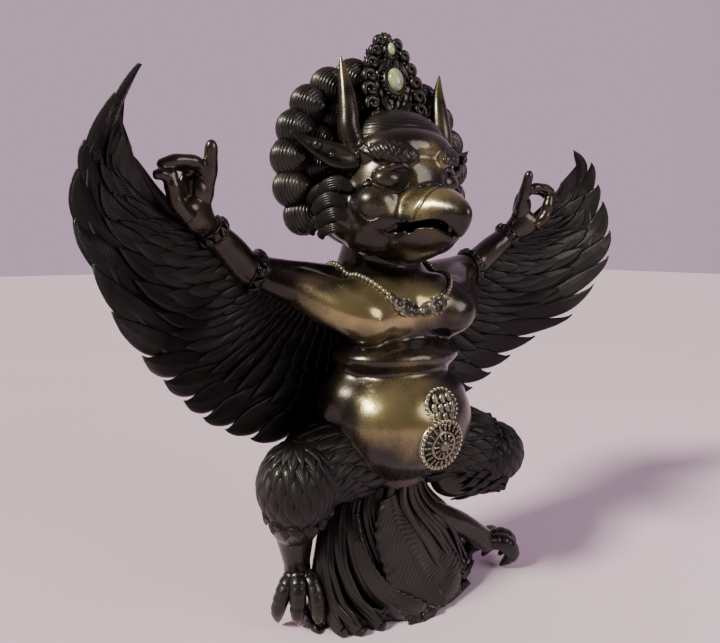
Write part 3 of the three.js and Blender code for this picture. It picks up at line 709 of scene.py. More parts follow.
def flight_feathers(side):
    """Each runs from the bone to its tip, and is turned by a tenth of a right angle about its line,
    so it laps over the next. The three outermost end in long blades, the rest in pointed fingers
    that stand apart."""
    v = np.array([0.04, 0.2, 0.36, 0.5, 0.62, 0.72, 0.8, 0.86, 0.91, 0.955, 0.985, 1])
    bend = np.array([0, 0, 0, 0, 0, 0, 0.1, 0.3, 0.6, 0.9, 0.8, 0.2])
    root = np.linalg.norm(wing_place(side, 0.53, v) - wing_place(side, 0.47, v), axis=-1)
    forms = []
    for first, last, free, power, broad, bent in [
        (0, 3, 0.4, 3.6, 0.8, 0.4),
        (3, 15, 0.15 if side < 0 else 0.2, 2.2, 0.7, 1),
    ]:
        s = (np.arange(first, last) + 1) / 16
        gap, across = spacing(side, s, 0.82)
        lines = wing_place(side, swept(s[:, None], v), v) + across[:, None] * (bend * bent)[:, None]
        widths = root / root[6] * (1 - np.clip((v - 1 + free) / free, 0, 1) ** power)
        widths[-1] = 0.03
        outs = unit(wing_out(side, swept(s, 0.8), 0.8) + 0.15 * across)
        forms.append(leaves(lines, outs, gap / 16 * broad, widths, thick=1.2, rows=76, top=12,
                            relief=barbs(24, 1.6), tips=0.55, back=1))
    return gather(forms)


# %% Coverts and the whole wing
def coverts(side, face, v0, v1, count, lift):
    """One row of short feathers on the front (face 1) or the back (-1), from v0 to v1."""
    s = spaced(0.06, 0.985, count) + (0.4 / count if count % 2 else 0)
    v, middle = spaced(v0, v1, 5), (v0 + v1) / 2
    outs = wing_out(side, s, middle) * face
    rise = np.array([lift - 1.0, lift - 0.3, lift + 0.1, lift + 0.3, lift + 0.15])
    lines = wing_place(side, swept(s[:, None], v), v) + outs[:, None] * rise[:, None]
    step = spacing(side, s, middle + 0.04)[0] * 0.925 / count
    return leaves(lines, outs, step * 0.68, [0.8, 0.98, 1, 0.75, 0.05], thick=0.6, rows=11, top=7,
                  relief=rib(0.25, 0.2))


def wing(side):
    """The sheet, front and back of it in one ring, then the arm's edge and the feathers."""
    s = spaced(0.1, 0.995, 60)
    reach = np.interp(s, [0.1, 0.2, 0.5, 0.7, 1], SHEET_REACH[side])
    s, v = s[:, None], reach[:, None] * spaced(0, 1, 24)
    front = wing_place(side, s, v) + 0.6 * wing_out(side, s, v)
    back = wing_place(side, s, v) - 0.6 * wing_out(side, s, v)
    sheet = np.concatenate([front, back[:, ::-1]], 1)
    edge = [(0.8, 0.7), (2.1, 1.6), (2.9, 2.2), (3.2, 2.4), (3.4, 2.8)]
    forms = [
        skin(sheet, sheet[0].mean(0), sheet[-1].mean(0)),
        tube(wing_place(side, spaced(0.13, 1, 9), 0), edge, FRONT, rows=70, cols=16, ends=(0.1, 0)),
        flight_feathers(side),
    ]
    for face, rows in COVERT_ROWS.items():
        forms += [coverts(side, face, *row, 1.6 + 0.14 * k) for k, row in enumerate(rows)]
    return make("wing_" + SIDE_NAMES[side], gather(forms))


wings = [wing(side) for side in SIDES]
print("wing faces:", [len(piece.data.polygons) for piece in wings])


# %% [markdown]
# ## Hair
#
# The mane is a mass of snail curls, the usual way to cast a deity's hair in this tradition. A
# curl is a ball whose radius goes up and down along the angle from its own axis, and the rise
# moves on by one groove for each turn about that axis. So the grooves join into one spiral.

# %% Snail curls
def curls(centres, axes, radius, groove=0.175, cols=20):
    """Ball of the given radius about its axis; at angle a from the axis and turn b round it the
    radius is raised by a wave of a / groove - b / (2 pi), which makes a spiral, with a smooth knob
    in the middle."""
    a = np.concatenate([spaced(0.03, 2.1, 54), spaced(2.25, np.pi - 0.05, 6)])[:, None]
    b = round_turn(cols)
    phase = (a / groove - b / (2 * np.pi)) % 1 - 0.5
    cut = wave(phase, 0.3) * (1 - wave(a, 0.36)) * wave(np.maximum(a - 1.7, 0), 0.7)
    swell = 1 - 0.075 * cut + 0.1 * wave(a, 0.3)
    axes, centres = unit(np.asarray(axes, float)), np.asarray(centres, float)
    side, other = square_to(axes, [0.13, 0.2, 1.0])
    ways = [(axes, np.cos(a)), (side, np.sin(a) * np.cos(b)), (other, np.sin(a) * np.sin(b))]
    out = sum(way[:, None, None] * share[..., None] for way, share in ways)
    rings = centres[:, None, None] + out * radius * swell[..., None]
    return skins(rings, centres + axes * radius * 1.05, centres - axes * radius * 0.98)


CURL_RINGS = [  # count, first and last degrees, half width and height, y, inward, lean, radius
    (15, -30, 210, 37.6, 34.8, 21.5, -0.35, -1, 7.2),
    (11, -22, 202, 27, 25.4, 21.5, -0.3, -1, 6.6),
    (11, -34, 214, 31, 29, 32, 1, 0.5, 7.2),
    (7, -42, 222, 18, 18, 37.8, 0.6, 1, 7.4),
]
MANE_HEIGHT = 170


def mane():
    """Two rings of curls round the face, and two and a last curl over the back of the head. An axis
    points along (inward * cos, lean, inward * sin), so the front curls show their middles."""
    forms = [ball((0, 27, MANE_HEIGHT), (32, 11, 30), 40, 60)]
    for count, first, last, wide, tall, y, inward, lean, radius in CURL_RINGS:
        turn = np.radians(spaced(first, last, count))
        x, z = np.cos(turn), np.sin(turn)
        centres = np.stack([wide * x, 0 * x + y, MANE_HEIGHT + tall * z], -1)
        forms.append(curls(centres, np.stack([inward * x, 0 * x + lean, inward * z], -1), radius))
    forms.append(curls([(0, 39, 169)], [(0, 1, 0)], 7.2))
    return make("hair_curls", gather(forms))


def hair_cap():
    """The combed hair over the brow, between the horns: an oval body with fine lines that run from
    the middle down to the sides."""
    def comb(tilt, turn):
        line = (tilt * 9 + 0.9 * np.abs(np.cos(turn))) % 1 - 0.5
        return -0.24 * wave(line, 0.3) * np.cos(tilt)
    return make("hair_cap", ball((0, 7, 178.8), (18.8, 12.6, 11.8), 96, 60, comb))


hair, cap = mane(), hair_cap()
print("hair faces:", len(hair.data.polygons))


# %% [markdown]
# ## Face details
#
# Lids, the crease over the cheek and the little swirls beside the eyes and the beak are threads of
# wax laid on the model, and the brow's strokes are small leaves laid in the same way. Each is drawn
# as a few places near the surface, which are then moved onto it.

# %% Threads of wax
def thread(places, sizes, rows=40, cols=10, tree=head_tree, lift=0.0):
    """A tube along a line that is laid on the surface, and then smoothed six times."""
    places, outs = laid(tree, spline(places, spaced(0, 1, rows)), lift)
    for _ in range(6):
        places[1:-1] += 0.5 * ((places[:-2] + places[2:]) / 2 - places[1:-1])
    return tube(places, sizes, unit(outs.mean(0)), rows=rows, cols=cols, ends=(0.12, 0.12))


def swirl(centre, across, rise, radius, turns, size):
    """A spiral: the radius shrinks evenly while it turns."""
    k = spaced(0, 1, 16)
    angle = 2 * np.pi * turns * k
    reach, angle = (radius * (1 - 0.85 * k))[:, None], angle[:, None]
    places = np.asarray(centre, float) + reach * (np.cos(angle) * across + np.sin(angle) * rise)
    return thread(places, [(size, size)] * 2, rows=70, cols=8, lift=0.25)


# %% Lids and swirls
LIDS = [  # the upper and the lower lid: places, half width and depth along it, lift
    ([(18.8, -1.8, 165.4), (17.2, -3, 166.8), (14.6, -5.4, 167.7), (12, -7.4, 168.9), (9.8, -8.6, 168.9),
      (7.6, -9.6, 167.4)], [(0.5, 0.5), (1.3, 0.9), (1.4, 1), (0.5, 0.5)], 0.1),
    ([(18, -2.6, 164.2), (16, -6, 161), (13, -7.8, 160), (10, -9, 161), (7.8, -9.6, 163.6)],
     [(0.3, 0.3), (0.7, 0.6), (0.7, 0.6), (0.3, 0.3)], 0.0),
]
SWIRLS = [  # centre, radius, turns, size, and the thread that leads away from it with its lift
    ((19.6, -1.4, 163.4), 2.2, 1.6, 0.7, [(19, -3.2, 162.4), (17.8, -5.2, 161.4), (16.8, -7, 160)], 0.25),
    ((4.8, -12.8, 162), 1.6, 1.5, 0.6, [(4.4, -13, 163), (2.6, -13.4, 163.4), (0.6, -13.4, 164)], 0.15),
    ((24.6, 2.5, 171.2), 2.0, -1.5, 0.75, None, 0),
    ((22.2, 1.8, 178.2), 1.9, 1.5, 0.75, None, 0),
]


def face_details():
    """For each side the two lids, the crease over the cheek, and four swirls."""
    forms = []
    for side in SIDES:
        across, rise = sided(side, [0.8, 0.6, 0]), np.array([0, 0, 1.0])
        for line, sizes, lift in LIDS:
            forms.append(thread(sided(side, line), sizes, lift=lift, rows=60, tree=eye_tree))
        forms.append(thread(sided(side, CREASE) - [0, 0, 0.9], [(0.36, 0.36)] * 2))
        for centre, radius, turns, size, line, lift in SWIRLS:
            forms.append(swirl(sided(side, centre), across, rise, radius, side * turns, size))
            if line:
                forms.append(thread(sided(side, line), [(0.8, 0.8), (0.7, 0.7), (0.3, 0.3)], lift=lift))
    return make("face_details", gather(forms))


# %% Brow strokes
BROW_EDGES = [  # the lower and the upper one
    [(4.6, -11, 168.6), (9, -9, 169.8), (12.8, -6.6, 169.8), (16, -3.4, 170.2), (18.6, 0, 171.6)],
    [(8, -9.4, 175.4), (11.6, -6.2, 177.2), (15, -3.6, 177.2), (18.4, -0.2, 176.6), (21, 3.8, 175.8)],
]


def brow_strokes():
    """Short strokes that lie close on the brow and run from its lower edge up and outwards, each
    with both ends sunk a little."""
    forms = []
    for side in SIDES:
        for begin, end in [(0.3, 1.06), (-0.05, 0.7)]:
            low, high = (spline(sided(side, edge), spaced(0.03, 0.97, 7)) for edge in BROW_EDGES)
            steps = [laid(head_tree, low + (high - low) * share + sided(side, [1, -2.6, 0.6]), lift)
                     for share, lift in zip(spaced(begin, end, 4), (0.1 - 0.3, 0.1, 0.1, 0.1 - 0.3))]
            lines = np.stack([on for on, _ in steps], 1)
            forms.append(leaves(lines, steps[1][1], 1.6, [0.7, 1, 0.85, 0.05], thick=0.75, rows=16, top=9,
                                relief=dent(0.3, 0.35)))
    return make("brows", gather(forms))


# %% Eyes, ears, horns and cheek locks
def eye_ball(side):
    """A ball with a ring cut round the pupil, by its angle from the way the eye looks."""
    gaze = unit(sided(side, [0.3, -0.93, -0.12]))
    def relief(tilt, turn):
        angle = np.arccos(np.clip(outward(tilt, turn) @ gaze, -1, 1))
        return -0.08 * wave(angle - 0.55, 0.09) - 0.12 * wave(angle, 0.16)
    return ball(sided(side, (12.2, -2.9, 164.2)), (6.4, 5, 4.6), 48, 60, relief)


def ear(side):
    """A pointed leaf with a cup pressed into it and a raised rim, and two balls that hang from it."""
    line = sided(side, [(19.4, 4.6, 171.2), (25.6, 7.4, 172.4), (33.6, 11.2, 176), (40.8, 14.6, 180.4)])
    def cup(t, u):
        rim = 0.5 * wave(np.abs(u) - 0.8, 0.16) * (1 - t)
        return -1.9 * wave(u, 0.72) * wave(t - 0.42, 0.44) + rim
    return [
        leaves([line], unit(sided(side, [0.25, -1, 0.2])), 4.7, [0.7, 0.95, 1, 0.72, 0.4, 0.03],
               thick=2.2, rows=40, top=25, relief=cup, tips=0.3),
        *paired(side, [((33.2, 9.2, 175.8), (1.9,) * 3, 16, 24), ((29, 6.6, 172.6), (1.2,) * 3, 10, 14)]),
    ]


def horn(side):
    """A tube that thins to a point, ringed near its root."""
    line = [(18, 6, 173), (20.9, 8, 181), (20.9, 9, 187.4), (21, 10, 194), (21.4, 11, 200.2),
            (22.4, 11.6, 207.2)]
    sizes = [(size, size) for size in (4.4, 4.1, 3.8, 3.1, 2.0, 0.3)]
    rings = lambda t, turn: 0.1 * wave((t * 24) % 1 - 0.5, 0.5) * wave(t, 0.25) + 0 * turn
    return tube(sided(side, line), sizes, FRONT, rows=120, cols=32, ends=(0, 0.02), relief=rings)


def locks(side):
    """Comma-shaped locks: each leaves the cheek, arches outward and curls under at its end."""
    lines = np.array([
        [(24, 2.6, 161.4), (27.2, 4.6, 163.2), (30.2, 7.8, 162.4), (31, 10.4, 159.6), (29.4, 11.2, 157.8)],
        [(25.2, 4, 156.2), (28.6, 6, 158), (31.4, 8.8, 157), (32.4, 11.4, 154.2), (31, 12, 152.2)],
        [(24.6, 3.6, 151.4), (28, 5.4, 153), (30.4, 8.6, 152), (31.4, 11.6, 149.4), (30, 12.2, 147.6)],
        [(23.6, 4.8, 147.2), (26.8, 6.6, 148.6), (29.2, 9.4, 147.8), (30.4, 11.8, 146),
         (29.4, 12.4, 144.6)],
        [(25, 8, 160), (28.6, 10.6, 161.6), (31.4, 13.6, 160.2), (32.2, 15.8, 157.4), (31, 16.4, 155.4)],
        [(25, 8, 150), (28.6, 10.6, 151.6), (31.4, 13.6, 150.2), (32.2, 15.8, 147.6), (31, 16.4, 146)],
    ]) * [side, 1, 1]
    comb = lambda t, u: -0.42 * wave((u * 3.1 + 0.5 * t) % 1 - 0.5, 0.32)
    return leaves(lines, unit(sided(side, [0.72, -0.8, 0.05])), [2.5, 2.6, 2.5, 2.1, 2.5, 2.4],
                  [0.6, 1, 1, 0.8, 0.3], thick=1.9, rows=44, top=36, relief=comb, tips=0.6)


# %% All the pieces of the face
eyes = make("eyes", gather([eye_ball(side) for side in SIDES]))
eye_tree = tree_of(head, eyes)
face, brows = face_details(), brow_strokes()
horns = make("horns", gather([horn(side) for side in SIDES]))
ears = make("ears", gather(both(ear)))
beard = make("cheek_locks", gather([locks(side) for side in SIDES]))
print("face pieces:", [piece.name for piece in (eyes, face, brows, horns, ears, beard)])


# %% [markdown]
# ## Feathered legs
#
# Thighs, knees and calves wear short overlapping feathers. A feather is laid on its limb by
# moving along the limb's own surface function, so it bends with the knee and keeps its distance.

# %% Feathers laid on a limb
def ball_place(centre, halves):
    """Surface of an oval body: t runs from its top to its bottom, turn goes round it."""
    def place(t, turn, lift):
        out = outward(np.pi * (0.5 - t), turn)
        return np.asarray(centre, float) + out * (np.asarray(halves, float) + lift[..., None])
    return place


def limb_place(path, radii, face):
    """Surface of a round limb: t runs along its path, turn goes round it."""
    def place(t, turn, lift):
        centre = spline(path, t)
        along = unit(spline(path, t + 0.02) - spline(path, t - 0.02))
        wide = unit(np.cross(np.asarray(face, float), along))
        deep = np.cross(along, wide)
        radius = (spline(np.array(radii, float)[:, None], t)[..., 0] + lift)[..., None]
        return centre + radius * (wide * np.cos(turn)[..., None] + deep * np.sin(turn)[..., None])
    return place


LONG = (0.55, 0.9, 1, 0.75, 0.35, 0.02)


def clad(place, starts, step, half, count, thick, skew=0.0, lift=0.25):
    """Rows of feathers on a surface: each starts at t, goes on by the step, and rises off the
    surface towards its tip. Every other row is turned by half a feather."""
    forms = []
    k, shape = spaced(0, 1, 5), (count, 5)
    rise = np.broadcast_to(lift + np.array([-0.9, -0.1, 0.4, 0.5, 0.05]), shape)
    for row, t0 in enumerate(starts):
        t = np.broadcast_to(t0 + step * k, shape)
        turns = round_turn(count, 0.5 * (row % 2))[:, None] + skew * k
        at = lambda lift: place(t[:, 2], turns[:, 2], np.full(count, lift))
        outs = unit(at(2.0) - at(0.0))
        forms.append(leaves(place(t, turns, rise), outs, half, LONG, thick=thick, relief=rib(0.28, 0.22)))
    return gather(forms)


# %% Leg feathers and feet
def leg_feathers(side):
    """Five rows on the thigh, two on top of the knee, more down round it, and the calf's."""
    leg = LEGS[side]
    knee = ball_place(sided(side, leg["knee"][0]), leg["knee"][1])
    thigh = limb_place(sided(side, leg["thigh"]), [15, 14, 12], UP)
    calf = limb_place(sided(side, leg["calf"]), [12, 10, 8], CALF_FACE)
    return make("leg_feathers_" + SIDE_NAMES[side], gather([
        clad(thigh, spaced(0.04, 0.66, 5), 0.4, 2.7, 16, 0.9),
        clad(knee, [0.02, 0.09], 0.3, 2.3, 10, 0.9),
        clad(knee, leg["knee_rows"], 0.34, 2.8, 16, 0.75, skew=0.14, lift=0.1),
        clad(calf, leg["calf_rows"], 0.34, 2.2, 14, 0.8),
    ]))


def foot(side):
    """Four curled toes. Along a toe the size goes up and down in plates, on the outer side of the
    bend only, and the last fifth thins to a smooth claw."""
    def plates(t, turn):
        saw = 0.5 * (((t * 9) % 1) ** 0.6 - 0.5) * (t < 0.78)
        return saw * np.clip(0.4 + np.sin(turn), 0, 1) - 0.25 * wave(t - 0.79, 0.03)
    leg = LEGS[side]
    sizes = np.array([(2.7, 2.6), (3.1, 3), (3, 2.9), (2.3, 2.2), (0.5, 0.5)]) * leg["toe_size"]
    forms = [tube(sided(side, toe), sizes, UP, rows=96, cols=24, ends=(0.1, 0.03), relief=plates)
             for toe in leg["toes"]]
    forms.append(ball(sided(side, leg["shank"][2]), (4.9, 4.7, 4.6), 24, 32))
    return make("foot_" + SIDE_NAMES[side], gather(forms))


legs = [leg_feathers(side) for side in SIDES]
feet = [foot(side) for side in SIDES]
print("leg feather faces:", [len(piece.data.polygons) for piece in legs])


# %% [markdown]
# ## Tail
#
# The tail hangs from the rump, wraps its core and carries part of the weight. Its strands follow
# the same rings as the solid, sway to the figure's left as they fall, and roll up at their ends
# on the ground. In front one broad plume lies over them, with fine barbs and a notched edge, and
# a narrow one that rolls up lies beside it.

# %% Tail plumes
TAIL_RINGS = np.array([  # height, middle x and y, half width, half depth, drift round the core
    (58, -1, 13, 14, 11, 0), (44, -4.5, 11.5, 20.5, 11, 0.2), (28, -0.3, 9.2, 29.4, 11, 0.5),
    (12, 1.5, 8.5, 32.2, 11.5, 0.9), (5, 1.8, 8, 33, 13.4, 1.2), (0.9, 0.8, 8, 31.9, 13.4, 1.3),
], float)
TAIL_MIDDLE, FLOOR_GAP = [1, 9.5, 0], 0.02


def tail_place(turn, k, swell):
    """A place on the tail: k runs down its rings, turn goes round it and drifts on as it falls."""
    z, x, y, wide, deep, drift = np.moveaxis(spline(TAIL_RINGS, k), -1, 0)
    angle = turn + np.pi * drift / 13
    wide = wide * (1 + 0.12 * np.clip(-np.cos(angle), 0, 1))
    x, y = x + wide * swell * np.cos(angle), y + deep * swell * np.sin(angle)
    return np.stack(np.broadcast_arrays(x, y, z), -1)


def strands(turns, k, shift, swell, half, widths, **form):
    """Leaves that start at these turns round the tail, shifted and swelled at each step k."""
    lines = tail_place(turns[:, None] + shift, k, np.asarray(swell))
    outs = unit((lines[:, len(k) // 2] - TAIL_MIDDLE) * [1, 1, 0])
    return leaves(lines, outs, half, widths, **form)


# %% Strands and plumes
SWAY = np.array([-0.12, -0.1, -0.02, 0.08, 0.2, 0.36, 0.5, 0.62])


def hanging_strands():
    """Twenty-one long strands and fifteen shorter ones over them, each with its own sway."""
    comb = lambda t, u: -0.5 * np.abs(np.cos(np.pi * (u * 2.5 - 0.9 * t))) ** 2
    turns = round_turn(21)
    long_sway = SWAY * (1 + 0.3 * np.sin(5 * turns)[:, None]) + 0.09 * np.sin(3 * turns)[:, None]
    swell = [0.93, 0.95, 0.96, 0.96, 0.96, 0.98, 1.03, 1.12] + 0.03 * np.cos(4 * turns)[:, None]
    long = strands(turns, [0, 0.2, 0.4, 0.5, 0.62, 0.8, 0.97, 0.9], long_sway, swell, 3.9,
                   [0.6, 0.8, 1, 1.1, 1.15, 1.1, 0.8, 0.25], thick=2.2, rows=44, top=22, relief=comb,
                   tips=0.8)
    turns = round_turn(15, 0.4)
    short_sway = SWAY[:7] * (1.3 + 0.3 * np.cos(3 * turns)[:, None]) + 0.12 * np.cos(4 * turns)[:, None]
    short = strands(turns, [0.02, 0.2, 0.36, 0.5, 0.62, 0.74, 0.68], short_sway,
                    [0.94, 0.98, 1.02, 1.03, 1.05, 1.09, 1.17], 2.9, [0.6, 0.9, 1, 1, 0.85, 0.6, 0.1],
                    thick=1.9, rows=40, top=17, relief=comb, tips=0.7)
    return [long, short]


def front_plumes():
    """The broad plume and the rolled one: fine barbs, a raised midrib, an edge cut in notches."""
    k = spaced(0, 1, 66)
    notches = 1 + 0.09 * (1 - (k * 22) % 1)
    widths = np.interp(k, [0, 0.15, 0.4, 0.7, 0.9, 1], [0.3, 0.6, 0.95, 1, 0.7, 0.08]) * notches

    def barbed(t, u):
        comb = np.abs(np.sin(np.pi * (t * 32 - np.abs(u) * 4)))
        return -0.26 * (1 - comb) ** 1.5 + rib(0.6, 0.07)(t, u)

    forms = []
    for turn, k, shift, swell, half, rows, top in [
        (-1.86, [0.14, 0.28, 0.42, 0.54, 0.66, 0.84, 0.98], [0, 0.06, 0.12, 0.18, 0.24, 0.28, 0.3],
         [1.15, 1.14, 1.1], 16.5, 170, 34),
        (-2.45, [0.2, 0.34, 0.48, 0.6, 0.76, 0.95, 0.9], [0, 0.04, 0.12, 0.24, 0.4, 0.6, 0.74],
         [1.14, 1.14, 1.26], 6.4, 130, 22),
    ]:
        forms.append(strands(np.array([turn]), k, shift, [1.05, 1.09, 1.12, 1.14, *swell], half, widths,
                             thick=2.0, rows=rows, top=top, relief=barbed, tips=0.8))
    return forms


def tail():
    """The core, a closed skin through the rings, and all its strands, none of them below the floor."""
    core = tail_place(round_turn(60), spaced(0, 1, 30)[:, None], 0.93)
    forms = [skin(core, (-1, 13, 60), (0.8, 8, 0.9)), *hanging_strands(), *front_plumes()]
    points, *rest = gather(forms)
    points[:, 2] = np.maximum(points[:, 2], FLOOR_GAP)
    return make("tail_plumes", (points, *rest))


plumes = tail()
print("tail faces:", len(plumes.data.polygons))


# %% [markdown]
# ## Crest and stones
#
# A flaming-jewel plate stands on the brow. Its edge is a row of rolled leaves, and two pale
# stones sit in raised collars with a ring of beads.

# %% Beads, hoops and turned work
LATHE_HINT = (0.21, 0.33, 0.92)


def turned(profile, size, centres, axes, cols, ends=None, petals=None):
    """Lathe work on many axes at once: the profile is a list of radius and height, as shares of
    size. petals(turn) is a factor on the radius."""
    centres, axes = np.asarray(centres, float), unit(np.asarray(axes, float))
    side, other = square_to(axes, LATHE_HINT)
    turn = round_turn(cols)
    r, h = np.array(profile, float).T[..., None] * np.ones(cols)
    if petals is not None:
        r = r * petals(turn)
    low, high = ends or (h[0, 0], h[-1, 0])
    size = np.broadcast_to(size, (len(centres),))[:, None, None, None]
    round_axis = side[:, None, None] * np.cos(turn)[:, None] + other[:, None, None] * np.sin(turn)[:, None]
    rings = centres[:, None, None] + size * (round_axis * r[..., None] + axes[:, None, None] * h[..., None])
    return skins(rings, centres + axes * size[:, 0, 0] * low, centres + axes * size[:, 0, 0] * high)


def beads(centres, radius):
    """Small balls of a few dozen faces each."""
    profile = [(0.5, -0.87), (0.87, -0.5), (1, 0), (0.87, 0.5), (0.5, 0.87)]
    return turned(profile, radius, centres, np.broadcast_to(UP, np.shape(centres)), 8, ends=(-1, 1))


def hoop(centre, axis, radius, size, rows=48, cols=10):
    """A closed ring: a small circle carried round a large one, joined in both directions."""
    axis = unit(axis)
    side, other = square_to(axis, LATHE_HINT)
    big, small = round_turn(rows)[:, None], round_turn(cols)
    out = side * np.cos(big) + other * np.sin(big)
    points = (centre + out[:, None] * (radius + size * np.cos(small))[:, None]
              + axis * (size * np.sin(small))[:, None])
    i, j = np.meshgrid(np.arange(rows), np.arange(cols), indexing="ij")
    at = lambda a, b: ((a % rows) * cols + b % cols).ravel()
    quads = np.stack([at(i, j), at(i + 1, j), at(i + 1, j + 1), at(i, j + 1)], -1)
    uv = np.stack(np.broadcast_arrays(big, small), -1).reshape(-1, 2)
    return points.reshape(-1, 3), quads, np.zeros((0, 3), int), uv


# %% Crest
CREST_LEAN = np.radians(13.0)
CREST_RISE = np.array([0, np.sin(CREST_LEAN), np.cos(CREST_LEAN)])
CREST_OUT = np.array([0, -np.cos(CREST_LEAN), np.sin(CREST_LEAN)])
CREST_FOOT, CREST_HEIGHT, CREST_WIDTH = np.array([0, 8.5, 183.0]), 37.6, 13.0
CREST_CENTRE, PLATE_BACK, PLATE_FRONT = 0.48, -1.5, 0.4
SEAT, GIRDLE = 1.75, 3.1  # foot of a stone and top of its straight side, off the crest's plane
STONES = {"crest_cabochon": (0.5, 3.2, 4.2, 2.2), "crest_top_stone": (0.81, 1.4, 2.3, 1.2)}


def crest_place(x, rank, lift):
    """x mm aside, rank up the crest as a share of its height, and lifted off its plane."""
    x, rank, lift = (np.asarray(value, float)[..., None] for value in (x, rank, lift))
    return CREST_FOOT + x * np.array(RIGHT) + rank * CREST_HEIGHT * CREST_RISE + lift * CREST_OUT


def crest_oval(rank, wide, tall, turn, lift):
    """Places on an oval round a middle at that rank, in mm."""
    return crest_place(wide * np.cos(turn), rank + tall * np.sin(turn) / CREST_HEIGHT, lift)


def crest_half(v):
    """Half width at a share of the height: a drop shape."""
    return CREST_WIDTH * (0.1 * (1 - v) + np.sin(np.pi * np.minimum(1, 0.14 + 0.86 * v**0.85)) ** 0.8 * 0.9)


# %% Crest plate and its leaves
def crest_plate():
    """The drop shape, shrunk towards its middle ring by ring, first on the back and then in front."""
    v = spaced(0, 1, 40)
    x = np.concatenate([crest_half(v), -crest_half(v)[::-1][1:-1]])
    above = np.concatenate([v, v[::-1][1:-1]]) - CREST_CENTRE
    rings = [crest_place(x * shrink, CREST_CENTRE + above * shrink, lift) for shrink, lift in [
        (0.3, PLATE_BACK), (0.75, PLATE_BACK), (0.93, -1.0), (0.95, -0.4),
        (0.93, 0.2), (0.8, PLATE_FRONT), (0.5, PLATE_FRONT), (0.2, PLATE_FRONT),
    ]]
    ends = [crest_place(0, CREST_CENTRE, lift) for lift in (PLATE_BACK, PLATE_FRONT)]
    return skin(np.stack(rings), *ends)


def crest_scales():
    """Small leaves in staggered rows on both faces, fanning out from the middle."""
    cells = []
    for k, rank in enumerate(spaced(0.08, 0.9, 11)):
        row = spaced(-10, 10, 9) if k % 2 else spaced(-8.8, 8.8, 8)
        cells += [(x, rank) for x in row if abs(x) < crest_half(rank) - 1.6]
    x, rank = np.array(cells).T[..., None]
    k, fan = spaced(0, 1, 4), np.sign(x) * np.minimum(1, np.abs(x) / 6)
    forms = []
    for lift, way in ((0.3, 1), (-1.2, -1)):
        lift = lift + way * np.array([-0.3, 0.35, 0.7, 0.5])
        lines = crest_place(x + fan * 1.6 * k, rank + 3.9 * k / CREST_HEIGHT, lift)
        forms.append(leaves(lines, CREST_OUT * way, 1.35, [0.6, 1, 0.85, 0.1], relief=dent(0.3, 0.35)))
    return forms


def crest_edge(side):
    """Rolled leaves up one side: spirals that shrink while they turn and rise off the plate."""
    forms = []
    k = spaced(0, 1, 14)
    angle = -0.9 + 2 * np.pi * 1.25 * k
    for rank in (0.1, 0.235, 0.37, 0.51, 0.645, 0.775, 0.885):
        grow = 1.0 - 0.32 * abs(rank - 0.37) * 2
        reach = 2.9 * grow * (1 - 0.8 * k)
        x = crest_half(rank) * 0.93 - 1.9 * grow + 1.2 + reach * np.cos(angle)
        places = crest_place(side * x, rank + reach * np.sin(angle) / CREST_HEIGHT, 1.2 + 0.9 * k)
        sizes = [(0.75, 1.3), (1.15, 1.7), (1.1, 1.6), (0.9, 1.3), (0.7, 1.0)]
        forms.append(tube(places, sizes, CREST_OUT, rows=44, cols=10, ends=(0.06, 0.08)))
    return forms


def crest_leaves(side):
    """Two leaves that rise below the large stone and two that hang above it."""
    aside, above, lift = np.array([(0.2, -0.1, 1.0), (0.8, -0.02, 2.2), (1.25, 0.09, 1.6)]).T
    return [leaves([crest_place(side * aside * x, rank + way * above, lift)], CREST_OUT, 1.7,
                   [0.5, 1, 0.8, 0.05], thick=1.0, rows=14, top=9, relief=rib(0.3, 0.2))
            for x, rank, way in [(2.0, 0.16, 1), (5.6, 0.24, 1), (2.2, 0.68, -1), (6.0, 0.62, -1)]]


# %% Collars, stones and the whole crest
def stone_collar(rank, wide, tall):
    """A raised rim round a stone, and a ring of beads about as many as fit."""
    steps = [(1.9, 0.5), (1.7, 1.9), (1.2, 2.9), (0.7, 3.1), (0.32, 2.8), (0.3, 1.9)]
    rings = [crest_oval(rank, wide + more, tall + more, round_turn(40), lift) for more, lift in steps]
    turn = round_turn(round(np.pi * (wide + tall + 3.6) / 1.5))
    return [skin(np.stack(rings), crest_place(0, rank, 0.5), crest_place(0, rank, 1.8)),
            beads(crest_oval(rank, wide + 2, tall + 2, turn, 1.9), 0.72)]


def crest():
    """All of it in one piece, with two beads at the very top."""
    return make("crest", gather([
        crest_plate(), *crest_scales(), *both(crest_edge), *both(crest_leaves),
        beads([crest_place(0, 0.93, 1.2), crest_place(-0.2, 0.975, 0.6)], [1.9, 1.3]),
        *(form for row in STONES.values() for form in stone_collar(*row[:3])),
    ]))


def stone(name):
    """A polished dome: height = rise * sqrt(1 - r * r) over a straight girdle."""
    rank, wide, tall, rise = STONES[name]
    steps = [(1.0, SEAT), (1.0, 2.6), (1.0, GIRDLE)]
    steps += [(np.cos(a), GIRDLE + rise * np.sin(a)) for a in spaced(0.1, 1.5, 12)]
    rings = [crest_oval(rank, wide * r, tall * r, round_turn(48), lift) for r, lift in steps]
    ends = [crest_place(0, rank, lift) for lift in (SEAT, GIRDLE + rise)]
    return make(name + "_polished", skin(np.stack(rings), *ends))


crown = crest()
print("crest faces:", len(crown.data.polygons))
stones = {name: stone(name) for name in STONES}


# %% [markdown]
# ## Jewellery
#
# A bead chain with flower medallions lies on the chest, bands with scalloped leaves circle the
# arms, and a jewelled wheel below a petalled panel hangs on the belly.

# %% Chain, armlets and cuffs
def collar_place(turn):
    """The chain's path: it hangs low in front and rises to the nape."""
    s = np.sin(turn)
    reach, rise = np.sign(s) * np.abs(s) ** 0.45, (1 - np.maximum(0, s)) ** 0.95
    return np.stack([21 * np.cos(turn), 17 - 22.5 * reach, 118.6 + 17.4 * rise], -1)


